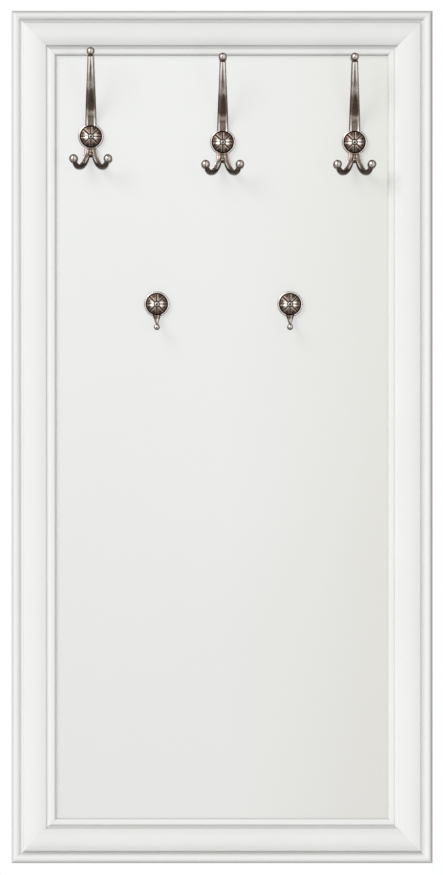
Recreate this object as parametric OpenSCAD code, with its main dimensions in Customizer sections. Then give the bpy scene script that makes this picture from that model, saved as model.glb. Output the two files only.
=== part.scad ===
// Wall mirror in a wide mitred frame, with three double coat hooks and two small hooks.
// X runs to the right, Y into the wall and Z up. The wall is the plane y = 0, and the
// origin lies midway between the entry holes of the two keyhole hanger plates.

/* [Frame] */
// Outside width of the frame
frame_w = 600; // [520:5:800]
// Outside height of the frame
frame_h = 1215; // [1000:5:1500]
// Height of the frame's top edge above the hanger holes
hanger_drop = 160; // [120:5:260]
// How far the hanger plates and bumpers hold the frame off the wall
wall_gap = 2.5; // [2:0.25:5]

/* [Moulding] */
// Width of the moulding from its outer side to the sight edge
moulding_w = 64; // [60:1:80]
// Thickness of the moulding at the crown of its broad face
moulding_t = 28; // [27:0.5:36]
// Width of the rounded outer band
band_w = 12.6; // [11:0.2:13.6]
// Radius of the outer band's crown
band_r = 6.9; // [6.9:0.1:9]
// How far the band's crown lies below the crown of the broad face
band_drop = 1.5; // [0.5:0.25:2.5]
// Width of the groove between the band and the broad face
groove_w = 5.2; // [4.5:0.1:7]
// Depth of that groove below the edge of the broad face
groove_depth = 4; // [3:0.25:5]
// Rise of the broad face's camber above its two edges
camber = 2; // [0.5:0.25:4]
// Width of the hollow between the broad face and the inner bead
hollow_w = 6.5; // [5:0.5:8]
// Depth of the hollow below the edge of the broad face
hollow_depth = 3.2; // [2.6:0.2:4]
// How far the sides of the groove and of the hollow lean in over their height
flank_lean = 1.5; // [0.5:0.25:2]
// Width of the inner bead, with its rounded edge and its fillet
bead_w = 8.8; // [8:0.2:11]
// Thickness of the lip that the glass lies against, at the top of the bead
lip_t = 8; // [7:0.25:9]
// Radius of the bead's rounded edge
bead_round = 4; // [2:0.2:5]
// Width of the flat fillet at the sight edge
fillet_w = 0.8; // [0.4:0.1:1.5]
// Width of the rebate behind the lip
rebate_w = 10; // [8:0.5:14]
// Depth of the rebate from the back of the frame
rebate_d = 16; // [15:0.5:18]

/* [Glass and board] */
// Thickness of the mirror glass
glass_t = 4; // [3:0.5:6]
// Gap between the edge of the glass and the side of the rebate
edge_gap = 2; // [1:0.25:4]
// Thickness of the tape between the glass and the board
tape_t = 1; // [0.8:0.1:1.5]
// Width of one strip of tape
tape_w = 19; // [12:1:25]
// Distance between two strips of tape
tape_pitch = 90; // [80:5:110]
// How far the tape stops short of the top and bottom of the glass
tape_margin = 30; // [10:5:80]
// Thickness of the backing board
board_t = 8; // [6:0.5:9]
// Length of a setting block
block_l = 40; // [20:5:60]
// Distance of the outer setting blocks from the corners of the glass
block_inset = 110; // [60:5:160]

/* [Hook places] */
// Distance between two neighbouring coat hooks
coat_hook_pitch = 188; // [150:1:200]
// How far right of the frame's middle the row of coat hooks sits
coat_row_shift = 1; // [-8:0.5:8]
// Depth of the coat hooks' centres below the frame's top edge
coat_hook_drop = 187; // [185:1:240]
// How much higher the left coat hook sits than the other two
left_hook_raise = 8; // [0:1:12]
// Distance between the two small hooks
small_hook_pitch = 190; // [120:1:200]
// How far right of the frame's middle the row of small hooks sits
small_row_shift = 2; // [-8:0.5:8]
// Depth of the small hooks' centres below the frame's top edge
small_hook_drop = 418; // [330:1:500]

/* [Hook base] */
// Radius of the round base
base_r = 18; // [17:0.25:20]
// Width of the rim round the rosette's recess
rim_w = 2.2; // [1.5:0.1:3]
// Thickness of the base under the rosette
base_floor = 3.2; // [2.8:0.1:5]
// Height of the rim above that floor
rim_rise = 2.2; // [1.4:0.1:3]
// Width of the chamfer on the rim's outer edge
rim_chamfer = 0.9; // [0.4:0.1:1.2]
// Thickness of the pad between the base and the glass
pad_t = 0.8; // [0.5:0.1:1.5]
// How far the pad's edge lies inside the edge of the base
pad_inset = 0.6; // [0.3:0.1:1.5]
// Distance between the two screws of a hook
hook_screw_pitch = 18; // [16:0.5:19]

/* [Rosette] */
// Width of the dark gap round the rosette
ring_gap = 0.6; // [0.3:0.1:1]
// Thickness of the rosette at its edge
rosette_edge = 1.3; // [0.8:0.1:2]
// Height of the rosette's dome above its edge
rosette_dome = 2.8; // [1.5:0.1:4]
// Radius of one radial groove
ray_r = 0.6; // [0.4:0.05:0.9]
// Number of radial grooves
ray_count = 8; // [6:1:12]
// Space between the button and the start of a radial groove
ray_clear = 1.2; // [0.6:0.1:2]
// Radius of the button at the rosette's centre
button_r = 3.3; // [2.5:0.1:4]
// Radius of the dimple in the button
dimple_r = 1; // [0.6:0.1:1.4]
// Radius of the spigot that holds the rosette in its base
spigot_r = 3; // [2:0.25:4]
// Length of that spigot
spigot_l = 1.9; // [1:0.1:2.2]

/* [Coat hook prongs] */
// Height of the upper ball's centre above the base's centre
arm_rise = 120.5; // [100:0.5:130]
// Distance of the upper ball's centre in front of the glass
arm_reach = 62; // [45:1:75]
// Length of the pull that bends the upper arm at its foot
arm_foot_pull = 40; // [30:1:46]
// Length of the pull that bends the upper arm under its ball
arm_tip_pull = 56; // [46:1:62]
// How far that pull leans outwards
arm_tip_lean = 9; // [4:0.5:14]
// Width of the upper arm at its foot
arm_foot_w = 16; // [13:0.2:18]
// Width of the upper arm under its ball
arm_neck_w = 8.4; // [6:0.2:9.2]
// Thickness of the upper arm
arm_t = 6; // [5:0.2:7]
// Depth of the hollow flute down the front of the upper arm
flute_depth = 1.1; // [0.4:0.1:1.6]
// Radius of the upper ball
arm_ball_r = 5.8; // [5:0.1:7]
// Sideways distance of a lower ball's centre from the middle
prong_spread = 24.5; // [22:0.5:28]
// Depth of a lower ball's centre below the base's centre
prong_ball_drop = 32; // [29:0.5:35]
// Distance of a lower ball's centre in front of the glass
prong_reach = 44; // [36:1:54]
// Sideways distance of a lower prong's root from the middle
prong_root_x = 4.5; // [4.2:0.1:5.6]
// Length of the pull that bends a lower prong at its root
prong_root_pull = 28; // [22:1:32]
// Length of the pull that bends a lower prong under its ball
prong_tip_pull = 23; // [18:1:28]
// How far that pull leans inwards and back
prong_tip_lean = 5; // [2:0.5:9]
// Depth of the hollow down the front of a lower prong
prong_flute_depth = 0.6; // [0.2:0.1:0.9]
// Width of a lower prong at its root
prong_root_w = 8.8; // [7.8:0.2:9.4]
// Width of a lower prong under its ball
prong_neck_w = 6; // [4.8:0.2:7]
// Radius of a lower ball
prong_ball_r = 6.2; // [5.6:0.1:7]

/* [Small hook prong] */
// Depth of the small ball's centre below the base's centre
small_drop = 32.7; // [29:0.5:36]
// Distance of the small ball's centre in front of the glass
small_reach = 33; // [26:1:40]
// Width of the small prong at its root, inside the base
small_root_w = 18; // [14:0.5:20]
// Width of the small prong under its ball
small_neck_w = 4.4; // [3.4:0.2:5]
// Radius of the small ball
small_ball_r = 4.3; // [3.8:0.1:5]
// Length of the pull that bends the small prong at its root
small_root_pull = 12; // [6:1:16]
// Length of the pull that bends the small prong under its ball
small_tip_pull = 4; // [0:1:8]
// How far that pull leans back towards the glass
small_tip_lean = 17; // [10:1:20]

/* [Fixings] */
// Radius of a hook screw's shank
hook_screw_r = 2; // [1.75:0.25:2.5]
// Radius of a hook screw's head
hook_head_r = 3.8; // [3.4:0.1:4.2]
// Height of a hook screw's head
hook_head_h = 2; // [1.6:0.1:2.2]
// Wall of the sleeve round a screw in the glass
sleeve_wall = 1.6; // [1:0.1:2.2]
// Wall of a tee nut's barrel
tee_wall = 0.9; // [0.6:0.1:1.4]
// Length of a tee nut's barrel
tee_barrel = 6.5; // [4:0.5:7.5]
// Radius of a tee nut's flange
tee_flange_r = 7; // [6:0.5:8]
// Thickness of a tee nut's flange
tee_flange_t = 1.2; // [0.8:0.1:1.6]
// Radius of a wood screw's shank
wood_screw_r = 1.6; // [1.4:0.1:2]
// Radius of a wood screw's head
wood_head_r = 3.2; // [2.8:0.1:3.6]
// Length of a wood screw
wood_screw_l = 16; // [12:1:20]
// Space left round every screw shank
screw_gap = 0.1; // [0.05:0.05:0.3]

/* [Back hardware] */
// Thickness of a corner plate
corner_t = 1.5; // [1:0.25:2]
// Width of a corner plate's legs
corner_leg_w = 16; // [12:1:20]
// Length of a corner plate's legs
corner_leg_l = 62; // [50:1:80]
// Distance of a corner plate from the outer sides of the frame
corner_inset = 14; // [8:1:24]
// Thickness of a board clip
clip_t = 1.2; // [0.8:0.1:1.6]
// Width of a board clip
clip_w = 16; // [12:1:20]
// Distance between two board clips along a stile
clip_pitch = 310; // [200:10:400]
// Distance between two board clips along a rail
rail_clip_pitch = 232; // [160:4:300]
// Length of a clip's foot on the frame
clip_foot = 18; // [14:1:24]
// Length of a clip's toe on the board
clip_toe = 11; // [8:1:16]
// Length of the bend between a clip's foot and toe
clip_bend = 3.5; // [2:0.5:5]
// How far the bend starts before the side of the rebate
clip_bend_lead = 0.5; // [0.25:0.25:2]
// Least width of metal between a screw's head and the edge of a hanger plate
plate_margin = 2; // [1.5:0.25:3]
// Space between a mitre spline and the corner screws beside it
spline_clear = 2; // [1.5:0.25:4]
// Length of a mitre spline
spline_l = 56; // [40:1:60]
// Width of a mitre spline
spline_w = 23; // [16:1:24]
// Thickness of a mitre spline
spline_t = 4; // [3:0.5:5]

/* [Hangers] */
// Distance of a hanger plate's middle from the frame's outer side
hanger_inset = 30; // [24:1:34]
// Width of a hanger plate
hanger_w = 30; // [26:1:36]
// Height of a hanger plate below its entry hole
hanger_below = 20; // [18:1:26]
// Height of a hanger plate above its entry hole
hanger_above = 36; // [34:1:48]
// Radius of the keyhole's entry hole
keyhole_r = 5.5; // [5:0.25:6.5]
// Half the width of the keyhole's slot
keyslot_r = 2.6; // [2.25:0.1:3]
// Length of the keyhole's slot
keyslot_l = 12; // [10:1:14]
// Depth of the pocket behind the keyhole
pocket_d = 10; // [8:0.5:12]
// Space between the pocket's side and the keyhole's entry hole
pocket_rim = 2.5; // [1.5:0.25:4]
// Radius of a bumper
bumper_r = 10; // [7:0.5:13]
// Height of the bumpers above the frame's bottom edge
bumper_rise = 120; // [90:5:200]

/* [Hidden] */
$fn = 48;

// A cut runs this far past the face that it opens, or this little where it has to stop there
past = 1;
sliver = 0.01;

frame_top_z = hanger_drop;
frame_bottom_z = hanger_drop - frame_h;
frame_middle_z = (frame_top_z + frame_bottom_z) / 2;
frame_back_y = -wall_gap;

// Heights across the moulding, from its back
face_edge_v = moulding_t - camber;
band_crown_v = moulding_t - band_drop;
band_shoulder_v = band_crown_v - band_r + sqrt(band_r * band_r - band_w * band_w / 4);
groove_v = face_edge_v - groove_depth;
hollow_v = face_edge_v - hollow_depth;
bead_v = rebate_d + lip_t;

// Distances across the moulding, from its outer side
face_start_u = band_w + groove_w;
bead_u = moulding_w - bead_w;
face_end_u = bead_u - hollow_w;
face_half = (face_end_u - face_start_u) / 2;
face_r = (face_half * face_half + camber * camber) / (2 * camber);
rebate_u = moulding_w - rebate_w;

// The stack in the rebate
glass_w = frame_w - 2 * (rebate_u + edge_gap);
glass_h = frame_h - 2 * (rebate_u + edge_gap);
glass_front_y = frame_back_y - rebate_d;
glass_back_y = glass_front_y + glass_t;
board_front_y = glass_back_y + tape_t;
board_back_y = board_front_y + board_t;
board_recess = frame_back_y - board_back_y;
stack_t = glass_t + tape_t + board_t;

// Hook places, each as [x, z]
coat_hook_z = frame_top_z - coat_hook_drop;
small_hook_z = frame_top_z - small_hook_drop;
coat_left = [coat_row_shift - coat_hook_pitch, coat_hook_z + left_hook_raise];
coat_centre = [coat_row_shift, coat_hook_z];
coat_right = [coat_row_shift + coat_hook_pitch, coat_hook_z];
small_left = [small_row_shift - small_hook_pitch / 2, small_hook_z];
small_right = [small_row_shift + small_hook_pitch / 2, small_hook_z];
coat_places = [coat_left, coat_centre, coat_right];
small_places = [small_left, small_right];

// Heights in a hook, out from the glass
floor_out = pad_t + base_floor;
rim_out = floor_out + rim_rise;
recess_r = base_r - rim_w;
rosette_r = recess_r - ring_gap;
dome_r = (rosette_r * rosette_r + rosette_dome * rosette_dome) / (2 * rosette_dome);
// The arm and the prongs start inside the base, at these heights and clear of the pad
bar_lift = 0.7;
bar_out = pad_t + bar_lift + arm_t / 2;
root_y = 12;
prong_root_y = 14;
small_root_y = 8;
// The arm's width falls along it by this power of its length: 1 is a straight taper
arm_taper = 1.5;
// A lower prong keeps its width through its bend and narrows under its ball, by this power
prong_taper = 4;
// The small prong narrows by this power, over this share of its length, out of a flared root
small_taper = 1.3;
small_flare = 0.55;
// Depth of a prong and of the web between two prongs, as shares of the prong's width
prong_depth_share = 0.82;
web_depth_share = 0.62;
// The web ends in the prongs' crotch, at this share of their length and with this width
crotch_t = 0.2;
web_end_w = 3.2;
// Shares of a bar's length over which its hollow opens, and over which it closes
arm_flute_run = [0.1, 0.35, 0.8, 1];
prong_flute_run = [0.05, 0.3, 0.65, 0.9];
// An ellipse is squared off by this power: 1 leaves it round
squareness = 0.8;
hook_screw_l = floor_out + stack_t;

sleeve_bore_r = hook_screw_r + screw_gap;
sleeve_r = sleeve_bore_r + sleeve_wall;
tee_bore_r = hook_screw_r + screw_gap / 2;
tee_r = tee_bore_r + tee_wall;

hanger_x = frame_w / 2 - hanger_inset;
pocket_r = keyhole_r + pocket_rim;
wood_head_h = wood_head_r - wood_screw_r;
screw_tip_r = 0.2;
spline_v = rebate_d / 2;
spline_u = rebate_u / 2;
// Screws along a corner plate's leg, from its corner: the first stands clear of the spline
corner_screw_first = corner_leg_w / 2 + sqrt(2) * (spline_w / 2 + wood_screw_r + spline_clear);
corner_screw_steps = [corner_screw_first, corner_leg_l - corner_leg_w / 2];

// ---------------------------------------------------------------- curves and swept bars

// A point on a cubic curve through its four control points c
function on_curve(c, t) =
    pow(1 - t, 3) * c[0] + 3 * pow(1 - t, 2) * t * c[1]
    + 3 * (1 - t) * t * t * c[2] + pow(t, 3) * c[3];
function along_curve(c, t) =
    pow(1 - t, 2) * (c[1] - c[0]) + 2 * (1 - t) * t * (c[2] - c[1]) + t * t * (c[3] - c[2]);
function unit(v) = v / norm(v);
function blend(a, b, k) = a + (b - a) * k;
// Rises smoothly from 0 at a to 1 at b
function ease(a, b, t) = let (k = min(1, max(0, (t - a) / (b - a)))) k * k * (3 - 2 * k);
function power_of(v, k) = sign(v) * pow(abs(v), k);
function fluted(depth, run, t) = depth * ease(run[0], run[1], t) * (1 - ease(run[2], run[3], t));

// One cross-section: half widths w across and h in depth, squared off a little, with a hollow
// of depth hollow down its front that is about half as wide as the bar
function section(w, h, hollow, sides) = [
    for (j = [0:sides - 1])
        let (
            x = w * power_of(cos(360 * j / sides), squareness),
            y = h * power_of(sin(360 * j / sides), squareness),
            dip = y > 0 ? hollow * exp(-pow(2 * x / w, 2)) : 0
        )
        [x, y - dip]
];

// Places a cross-section square to the curve at t. across is the direction of its width.
function placed(c, t, across, outline) =
    let (
        p = on_curve(c, t),
        d = unit(along_curve(c, t)),
        w = unit(across - (across * d) * d),
        n = cross(w, d)
    )
    [for (q = outline) p + q[0] * w + q[1] * n];

// A closed solid over a list of rings of equal length
module skinned(rings) {
    sides = len(rings[0]);
    last = len(rings) - 1;
    walls = [
        for (i = [0:last - 1], j = [0:sides - 1])
            let (a = i * sides + j, b = i * sides + (j + 1) % sides)
            each [[a, b, b + sides], [a, b + sides, a + sides]]
    ];
    start = [for (j = [sides - 1:-1:0]) j];
    end = [for (j = [0:sides - 1]) last * sides + j];
    points = [for (ring = rings) each ring];
    polyhedron(points = points, faces = concat(walls, [start], [end]), convexity = 6);
}

// ---------------------------------------------------------------- frame

// Section of the moulding: X from the outer side inwards, Y from the back to the front
module moulding_section() {
    bead_top_u = moulding_w - fillet_w - bead_round;
    bead_side_v = bead_v - bead_round;
    polygon([
        [0, 0], [rebate_u, 0], [rebate_u, rebate_d], [moulding_w, rebate_d],
        [moulding_w, bead_side_v], [bead_top_u, bead_side_v], [bead_top_u, bead_v],
        [bead_u, bead_v], [bead_u - flank_lean, hollow_v], [face_end_u + flank_lean, hollow_v],
        [face_end_u, face_edge_v], [face_start_u, face_edge_v], [face_start_u - flank_lean, groove_v],
        [band_w, groove_v], [band_w, band_shoulder_v], [0, band_shoulder_v]
    ]);
    // Crown of the outer band
    intersection() {
        translate([band_w / 2, band_crown_v - band_r]) circle(r = band_r, $fn = 96);
        square([band_w, moulding_t]);
    }
    // Camber of the broad face
    intersection() {
        translate([face_start_u + face_half, moulding_t - face_r]) circle(r = face_r, $fn = 360);
        translate([face_start_u, 0]) square([2 * face_half, moulding_t]);
    }
    // Rounded edge of the inner bead
    translate([bead_top_u, bead_side_v]) intersection() {
        circle(r = bead_round);
        square(bead_round);
    }
}

// One member of the frame, mitred at both ends, with its outer side on X = 0
module moulding_member(length) {
    mitred_outline = [
        [0, -length / 2], [0, length / 2],
        [moulding_w, length / 2 - moulding_w], [moulding_w, moulding_w - length / 2]
    ];
    intersection() {
        translate([0, 0, -length / 2]) mirror([0, 1, 0]) linear_extrude(height = length) moulding_section();
        rotate([90, 0, 0]) linear_extrude(height = moulding_t) polygon(mitred_outline);
    }
}

module stile_at_left() {
    translate([-frame_w / 2, frame_back_y, frame_middle_z]) moulding_member(frame_h);
}

module frame_left_stile() {
    color([0.94, 0.94, 0.93]) difference() {
        stile_at_left();
        frame_cuts();
    }
}

module frame_right_stile() {
    color([0.94, 0.94, 0.93]) difference() {
        mirror([1, 0, 0]) stile_at_left();
        frame_cuts();
    }
}

module frame_top_rail() {
    color([0.93, 0.93, 0.92]) difference() {
        translate([0, frame_back_y, frame_top_z]) rotate([0, 90, 0]) moulding_member(frame_w);
        frame_cuts();
    }
}

module frame_bottom_rail() {
    color([0.93, 0.93, 0.92]) difference() {
        translate([0, frame_back_y, frame_bottom_z]) rotate([0, -90, 0]) moulding_member(frame_w);
        frame_cuts();
    }
}

// Every slot, pocket and screw hole in the back of the frame
module frame_cuts() {
    splines(screw_gap);
    at_corner_screws() screw_hole(corner_t);
    at_clips() translate([rebate_u - clip_foot / 2, 0, 0]) screw_hole(clip_t);
    at_hanger_screws() screw_hole(wall_gap);
    at_hangers() hanger_pocket();
}

// ---------------------------------------------------------------- corners

// Puts its children at a corner, with X inwards along the rail, Z inwards along the stile
module at_corner(side, end) {
    translate([side * frame_w / 2, frame_back_y, end > 0 ? frame_top_z : frame_bottom_z])
        mirror([side > 0 ? 1 : 0, 0, 0]) mirror([0, 0, end > 0 ? 1 : 0]) children();
}

module at_corners() {
    for (side = [-1, 1], end = [-1, 1]) at_corner(side, end) children();
}

// Splines in the four mitres, each bounded by two arcs
module splines(grow) {
    half_w = spline_w / 2 + grow;
    half_l = spline_l / 2 + grow;
    arc_r = (half_l * half_l + half_w * half_w) / (2 * half_w);
    at_corners() translate([spline_u, -spline_v, spline_u]) rotate([90, -45, 0])
        linear_extrude(height = spline_t + 2 * grow, center = true) intersection() {
            translate([0, half_w - arc_r]) circle(r = arc_r, $fn = 96);
            translate([0, arc_r - half_w]) circle(r = arc_r, $fn = 96);
        }
}

module mitre_splines() {
    color([0.82, 0.68, 0.48]) splines(0);
}

// Puts its children at each screw of one corner plate
module at_plate_screws() {
    middle = corner_inset + corner_leg_w / 2;
    for (step = corner_screw_steps) {
        translate([corner_inset + step, 0, middle]) children();
        translate([middle, 0, corner_inset + step]) children();
    }
}

module at_corner_screws() {
    at_corners() at_plate_screws() children();
}

module corner_plate(side, end) {
    color([0.72, 0.73, 0.74]) at_corner(side, end) difference() {
        translate([corner_inset, 0, corner_inset]) union() {
            cube([corner_leg_l, corner_t, corner_leg_w]);
            cube([corner_leg_w, corner_t, corner_leg_l]);
        }
        at_plate_screws() screw_hole(corner_t);
    }
}

module corner_plate_top_left() { corner_plate(-1, 1); }
module corner_plate_top_right() { corner_plate(1, 1); }
module corner_plate_bottom_left() { corner_plate(-1, -1); }
module corner_plate_bottom_right() { corner_plate(1, -1); }

module corner_plate_screws() {
    color([0.8, 0.78, 0.66]) at_corner_screws() wood_screw(corner_t);
}

// ---------------------------------------------------------------- wood screws

// Wood screw driven from the back, with its head's face level with a plate of thickness plate_t
module wood_screw(plate_t) {
    translate([0, plate_t, 0]) rotate([90, 0, 0]) difference() {
        union() {
            cylinder(r1 = wood_head_r, r2 = wood_screw_r, h = wood_head_h);
            cylinder(r = wood_screw_r, h = wood_screw_l - wood_screw_r);
            translate([0, 0, wood_screw_l - wood_screw_r])
                cylinder(r1 = wood_screw_r, r2 = screw_tip_r, h = wood_screw_r);
        }
        cross_recess(wood_head_r, wood_head_h);
    }
}

// Cross recess in a screw's head
module cross_recess(head_r, head_h) {
    arm = head_r * 1.1;
    width = head_r / 4;
    depth = head_h * 0.6;
    for (turn = [0, 90]) rotate([0, 0, turn])
        translate([-arm / 2, -width / 2, -past]) cube([arm, width, depth + past]);
}

// Hole for a wood screw and its head, below a plate of thickness plate_t and through it
module screw_hole(plate_t) {
    hole_r = wood_screw_r + screw_gap;
    sink_r = wood_head_r + screw_gap;
    translate([0, plate_t, 0]) rotate([90, 0, 0]) {
        cylinder(r = hole_r, h = wood_screw_l);
        cylinder(r1 = sink_r, r2 = hole_r, h = sink_r - hole_r);
        translate([0, 0, -past]) cylinder(r = sink_r, h = past);
    }
}

// ---------------------------------------------------------------- glass, board and blocks

module slab(w, h, front_y, t) {
    translate([-w / 2, front_y, frame_middle_z - h / 2]) cube([w, t, h]);
}

module at_hook_screws(places) {
    for (place = places, side = [-1, 1])
        translate([place[0], 0, place[1] + side * hook_screw_pitch / 2]) children();
}

// Hole along Y from y0 to y1
module hole_through(r, y0, y1) {
    translate([0, y1 + past, 0]) rotate([90, 0, 0]) cylinder(r = r, h = y1 - y0 + 2 * past);
}

module mirror_glass() {
    color([0.88, 0.89, 0.88]) difference() {
        slab(glass_w, glass_h, glass_front_y, glass_t);
        at_hook_screws(concat(coat_places, small_places))
            hole_through(sleeve_r + screw_gap, glass_front_y, glass_back_y);
    }
}

module mounting_tapes() {
    strips = floor((glass_w / 2 - tape_w) / tape_pitch + 0.5);
    bottom_z = frame_middle_z - glass_h / 2 + tape_margin;
    color([0.2, 0.2, 0.2]) for (i = [0:strips - 1], side = [-1, 1])
        translate([side * (i + 0.5) * tape_pitch - tape_w / 2, glass_back_y, bottom_z])
            cube([tape_w, tape_t, glass_h - 2 * tape_margin]);
}

module backing_board() {
    color([0.6, 0.47, 0.34]) difference() {
        slab(glass_w, glass_h, board_front_y, board_t);
        at_hook_screws(concat(coat_places, small_places))
            hole_through(tee_r + screw_gap, board_front_y, board_back_y);
    }
}

// Blocks under the glass and the board, which carry their weight
module setting_blocks() {
    bottom_z = frame_middle_z - glass_h / 2 - edge_gap;
    color([0.15, 0.15, 0.15]) for (side = [-1, 1])
        translate([side * (glass_w / 2 - block_inset) - block_l / 2, glass_front_y, bottom_z])
            cube([block_l, stack_t, edge_gap]);
}

// Spacers that centre the glass and the board between the stiles and under the top rail
module side_spacers() {
    top_z = frame_middle_z + glass_h / 2;
    color([0.15, 0.15, 0.15]) for (side = [-1, 1]) {
        translate([side * (glass_w / 2 - block_inset) - block_l / 2, glass_front_y, top_z])
            cube([block_l, stack_t, edge_gap]);
        for (end = [-1, 1])
            let (z = frame_middle_z + end * (glass_h / 2 - block_inset) - block_l / 2)
            translate([side * (glass_w + edge_gap) / 2 - edge_gap / 2, glass_front_y, z])
                cube([edge_gap, stack_t, block_l]);
    }
}

// ---------------------------------------------------------------- board clips

// Puts its children at each clip, with X from the outer side inwards and Z along the member
module at_clips() {
    side_clips = floor((frame_h - 2 * moulding_w) / clip_pitch);
    rail_clips = max(1, floor((frame_w - 2 * moulding_w) / rail_clip_pitch));
    for (side = [0, 1], i = [0:side_clips - 1])
        let (z = frame_middle_z + (i - (side_clips - 1) / 2) * clip_pitch)
        mirror([side, 0, 0]) translate([-frame_w / 2, frame_back_y, z]) children();
    for (turn = [-90, 90], i = [0:rail_clips - 1])
        let (x = (i - (rail_clips - 1) / 2) * rail_clip_pitch, z = turn > 0 ? frame_top_z : frame_bottom_z)
        translate([x, frame_back_y, z]) rotate([0, turn, 0]) children();
}

module clip_section() {
    foot_u = rebate_u - clip_foot;
    bend_u = rebate_u - clip_bend_lead;
    toe_u = bend_u + clip_bend;
    polygon([
        [foot_u, 0], [bend_u, 0], [toe_u, -board_recess], [toe_u + clip_toe, -board_recess],
        [toe_u + clip_toe, clip_t - board_recess], [toe_u + clip_t / 2, clip_t - board_recess],
        [bend_u + clip_t / 2, clip_t], [foot_u, clip_t]
    ]);
}

module board_clips() {
    color([0.72, 0.73, 0.74]) at_clips() difference() {
        translate([0, 0, -clip_w / 2]) linear_extrude(height = clip_w) clip_section();
        translate([rebate_u - clip_foot / 2, 0, 0]) screw_hole(clip_t);
    }
}

module board_clip_screws() {
    color([0.8, 0.78, 0.66]) at_clips() translate([rebate_u - clip_foot / 2, 0, 0]) wood_screw(clip_t);
}

// ---------------------------------------------------------------- hangers and bumpers

module at_hangers() {
    for (side = [-1, 1]) translate([side * hanger_x, frame_back_y, 0]) children();
}

module at_one_hanger_screws() {
    inset = wood_head_r + plate_margin;
    for (side = [-1, 1], z = [inset - hanger_below, hanger_above - inset])
        translate([side * (hanger_w / 2 - inset), 0, z]) children();
}

module at_hanger_screws() {
    at_hangers() at_one_hanger_screws() children();
}

module hanger_pocket() {
    for (z = [0, keyslot_l]) translate([0, 0, z]) rotate([90, 0, 0])
        translate([0, 0, -past]) cylinder(r = pocket_r, h = pocket_d + past);
    translate([-pocket_r, -pocket_d, 0]) cube([2 * pocket_r, pocket_d + past, keyslot_l]);
}

module hanger_plate(side) {
    color([0.72, 0.73, 0.74]) translate([side * hanger_x, frame_back_y, 0]) difference() {
        translate([-hanger_w / 2, 0, -hanger_below])
            cube([hanger_w, wall_gap, hanger_below + hanger_above]);
        hole_through(keyhole_r, 0, wall_gap);
        translate([0, 0, keyslot_l]) hole_through(keyslot_r, 0, wall_gap);
        translate([-keyslot_r, -past, 0]) cube([2 * keyslot_r, wall_gap + 2 * past, keyslot_l]);
        at_one_hanger_screws() screw_hole(wall_gap);
    }
}

module hanger_plate_left() { hanger_plate(-1); }
module hanger_plate_right() { hanger_plate(1); }

module hanger_screws() {
    color([0.8, 0.78, 0.66]) at_hanger_screws() wood_screw(wall_gap);
}

module wall_bumpers() {
    color([0.35, 0.35, 0.34]) for (side = [-1, 1])
        translate([side * hanger_x, 0, frame_bottom_z + bumper_rise]) rotate([90, 0, 0])
            cylinder(r = bumper_r, h = wall_gap);
}

// ---------------------------------------------------------------- hooks
// In a hook X runs to the right, Y up and Z out from the glass.

module at_hook(place) {
    translate([place[0], glass_front_y, place[1]]) rotate([90, 0, 0]) children();
}

upper_curve = [
    [0, root_y, bar_out], [0, root_y + arm_foot_pull, bar_out],
    [0, arm_rise - arm_tip_pull, arm_reach - arm_tip_lean], [0, arm_rise, arm_reach]
];

prong_ball = [prong_spread, -prong_ball_drop, prong_reach];
lower_curve = [
    [prong_root_x, -prong_root_y, bar_out], [prong_root_x, -prong_root_y - prong_root_pull, bar_out],
    prong_ball - [prong_tip_lean, prong_tip_pull, prong_tip_lean], prong_ball
];

// The web between the two prongs follows them down the middle and runs out in their crotch
web_curve = [for (p = lower_curve) [0, p[1], p[2]]];

small_ball = [0, -small_drop, small_reach];
small_curve = [
    [0, -small_root_y, bar_out], [0, -small_root_y - small_root_pull, bar_out],
    small_ball - [0, small_tip_pull, small_tip_lean], small_ball
];

module upper_arm() {
    steps = 22;
    skinned([
        for (i = [0:steps])
            let (
                t = i / steps,
                w = blend(arm_foot_w, arm_neck_w, pow(t, arm_taper)) / 2,
                hollow = fluted(flute_depth, arm_flute_run, t)
            )
            placed(upper_curve, t, [1, 0, 0], section(w, arm_t / 2, hollow, 20))
    ]);
    translate(upper_curve[3]) sphere(r = arm_ball_r);
}

module lower_prong() {
    steps = 15;
    reach = lower_curve[3] - lower_curve[0];
    across = unit([-reach[2], 0, reach[0]]);
    skinned([
        for (i = [0:steps])
            let (
                t = i / steps,
                w = blend(prong_root_w, prong_neck_w, pow(t, prong_taper)) / 2,
                hollow = fluted(prong_flute_depth, prong_flute_run, t)
            )
            placed(lower_curve, t, across, section(w, w * prong_depth_share, hollow, 16))
    ]);
    translate(prong_ball) sphere(r = prong_ball_r);
}

module prong_web() {
    steps = 5;
    skinned([
        for (i = [0:steps])
            let (
                t = crotch_t * i / steps,
                w = blend(prong_root_x, web_end_w / 2, i / steps),
                h = prong_root_w / 2 * web_depth_share
            )
            placed(web_curve, t, [-1, 0, 0], section(w, h, 0, 12))
    ]);
}

// Round base with its raised rim
module base_section() {
    polygon([
        [0, pad_t], [base_r, pad_t], [base_r, rim_out - rim_chamfer],
        [base_r - rim_chamfer, rim_out], [0, rim_out]
    ]);
}

// Recess for the rosette, with the countersunk screw holes and the spigot's hole in its floor
module base_cuts() {
    translate([0, 0, floor_out]) cylinder(r = recess_r, h = arm_t);
    translate([0, 0, floor_out - spigot_l - screw_gap]) cylinder(r = spigot_r + screw_gap, h = arm_t);
    for (side = [-1, 1]) translate([0, side * hook_screw_pitch / 2, 0]) {
        cylinder(r = hook_screw_r + screw_gap, h = floor_out + past);
        translate([0, 0, floor_out - hook_head_h])
            cylinder(r1 = hook_screw_r + screw_gap, r2 = hook_head_r + screw_gap, h = hook_head_h + sliver);
    }
}

module coat_hook() {
    color([0.55, 0.52, 0.49]) difference() {
        union() {
            rotate_extrude() base_section();
            upper_arm();
            lower_prong();
            mirror([1, 0, 0]) lower_prong();
            prong_web();
        }
        base_cuts();
    }
}

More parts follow.
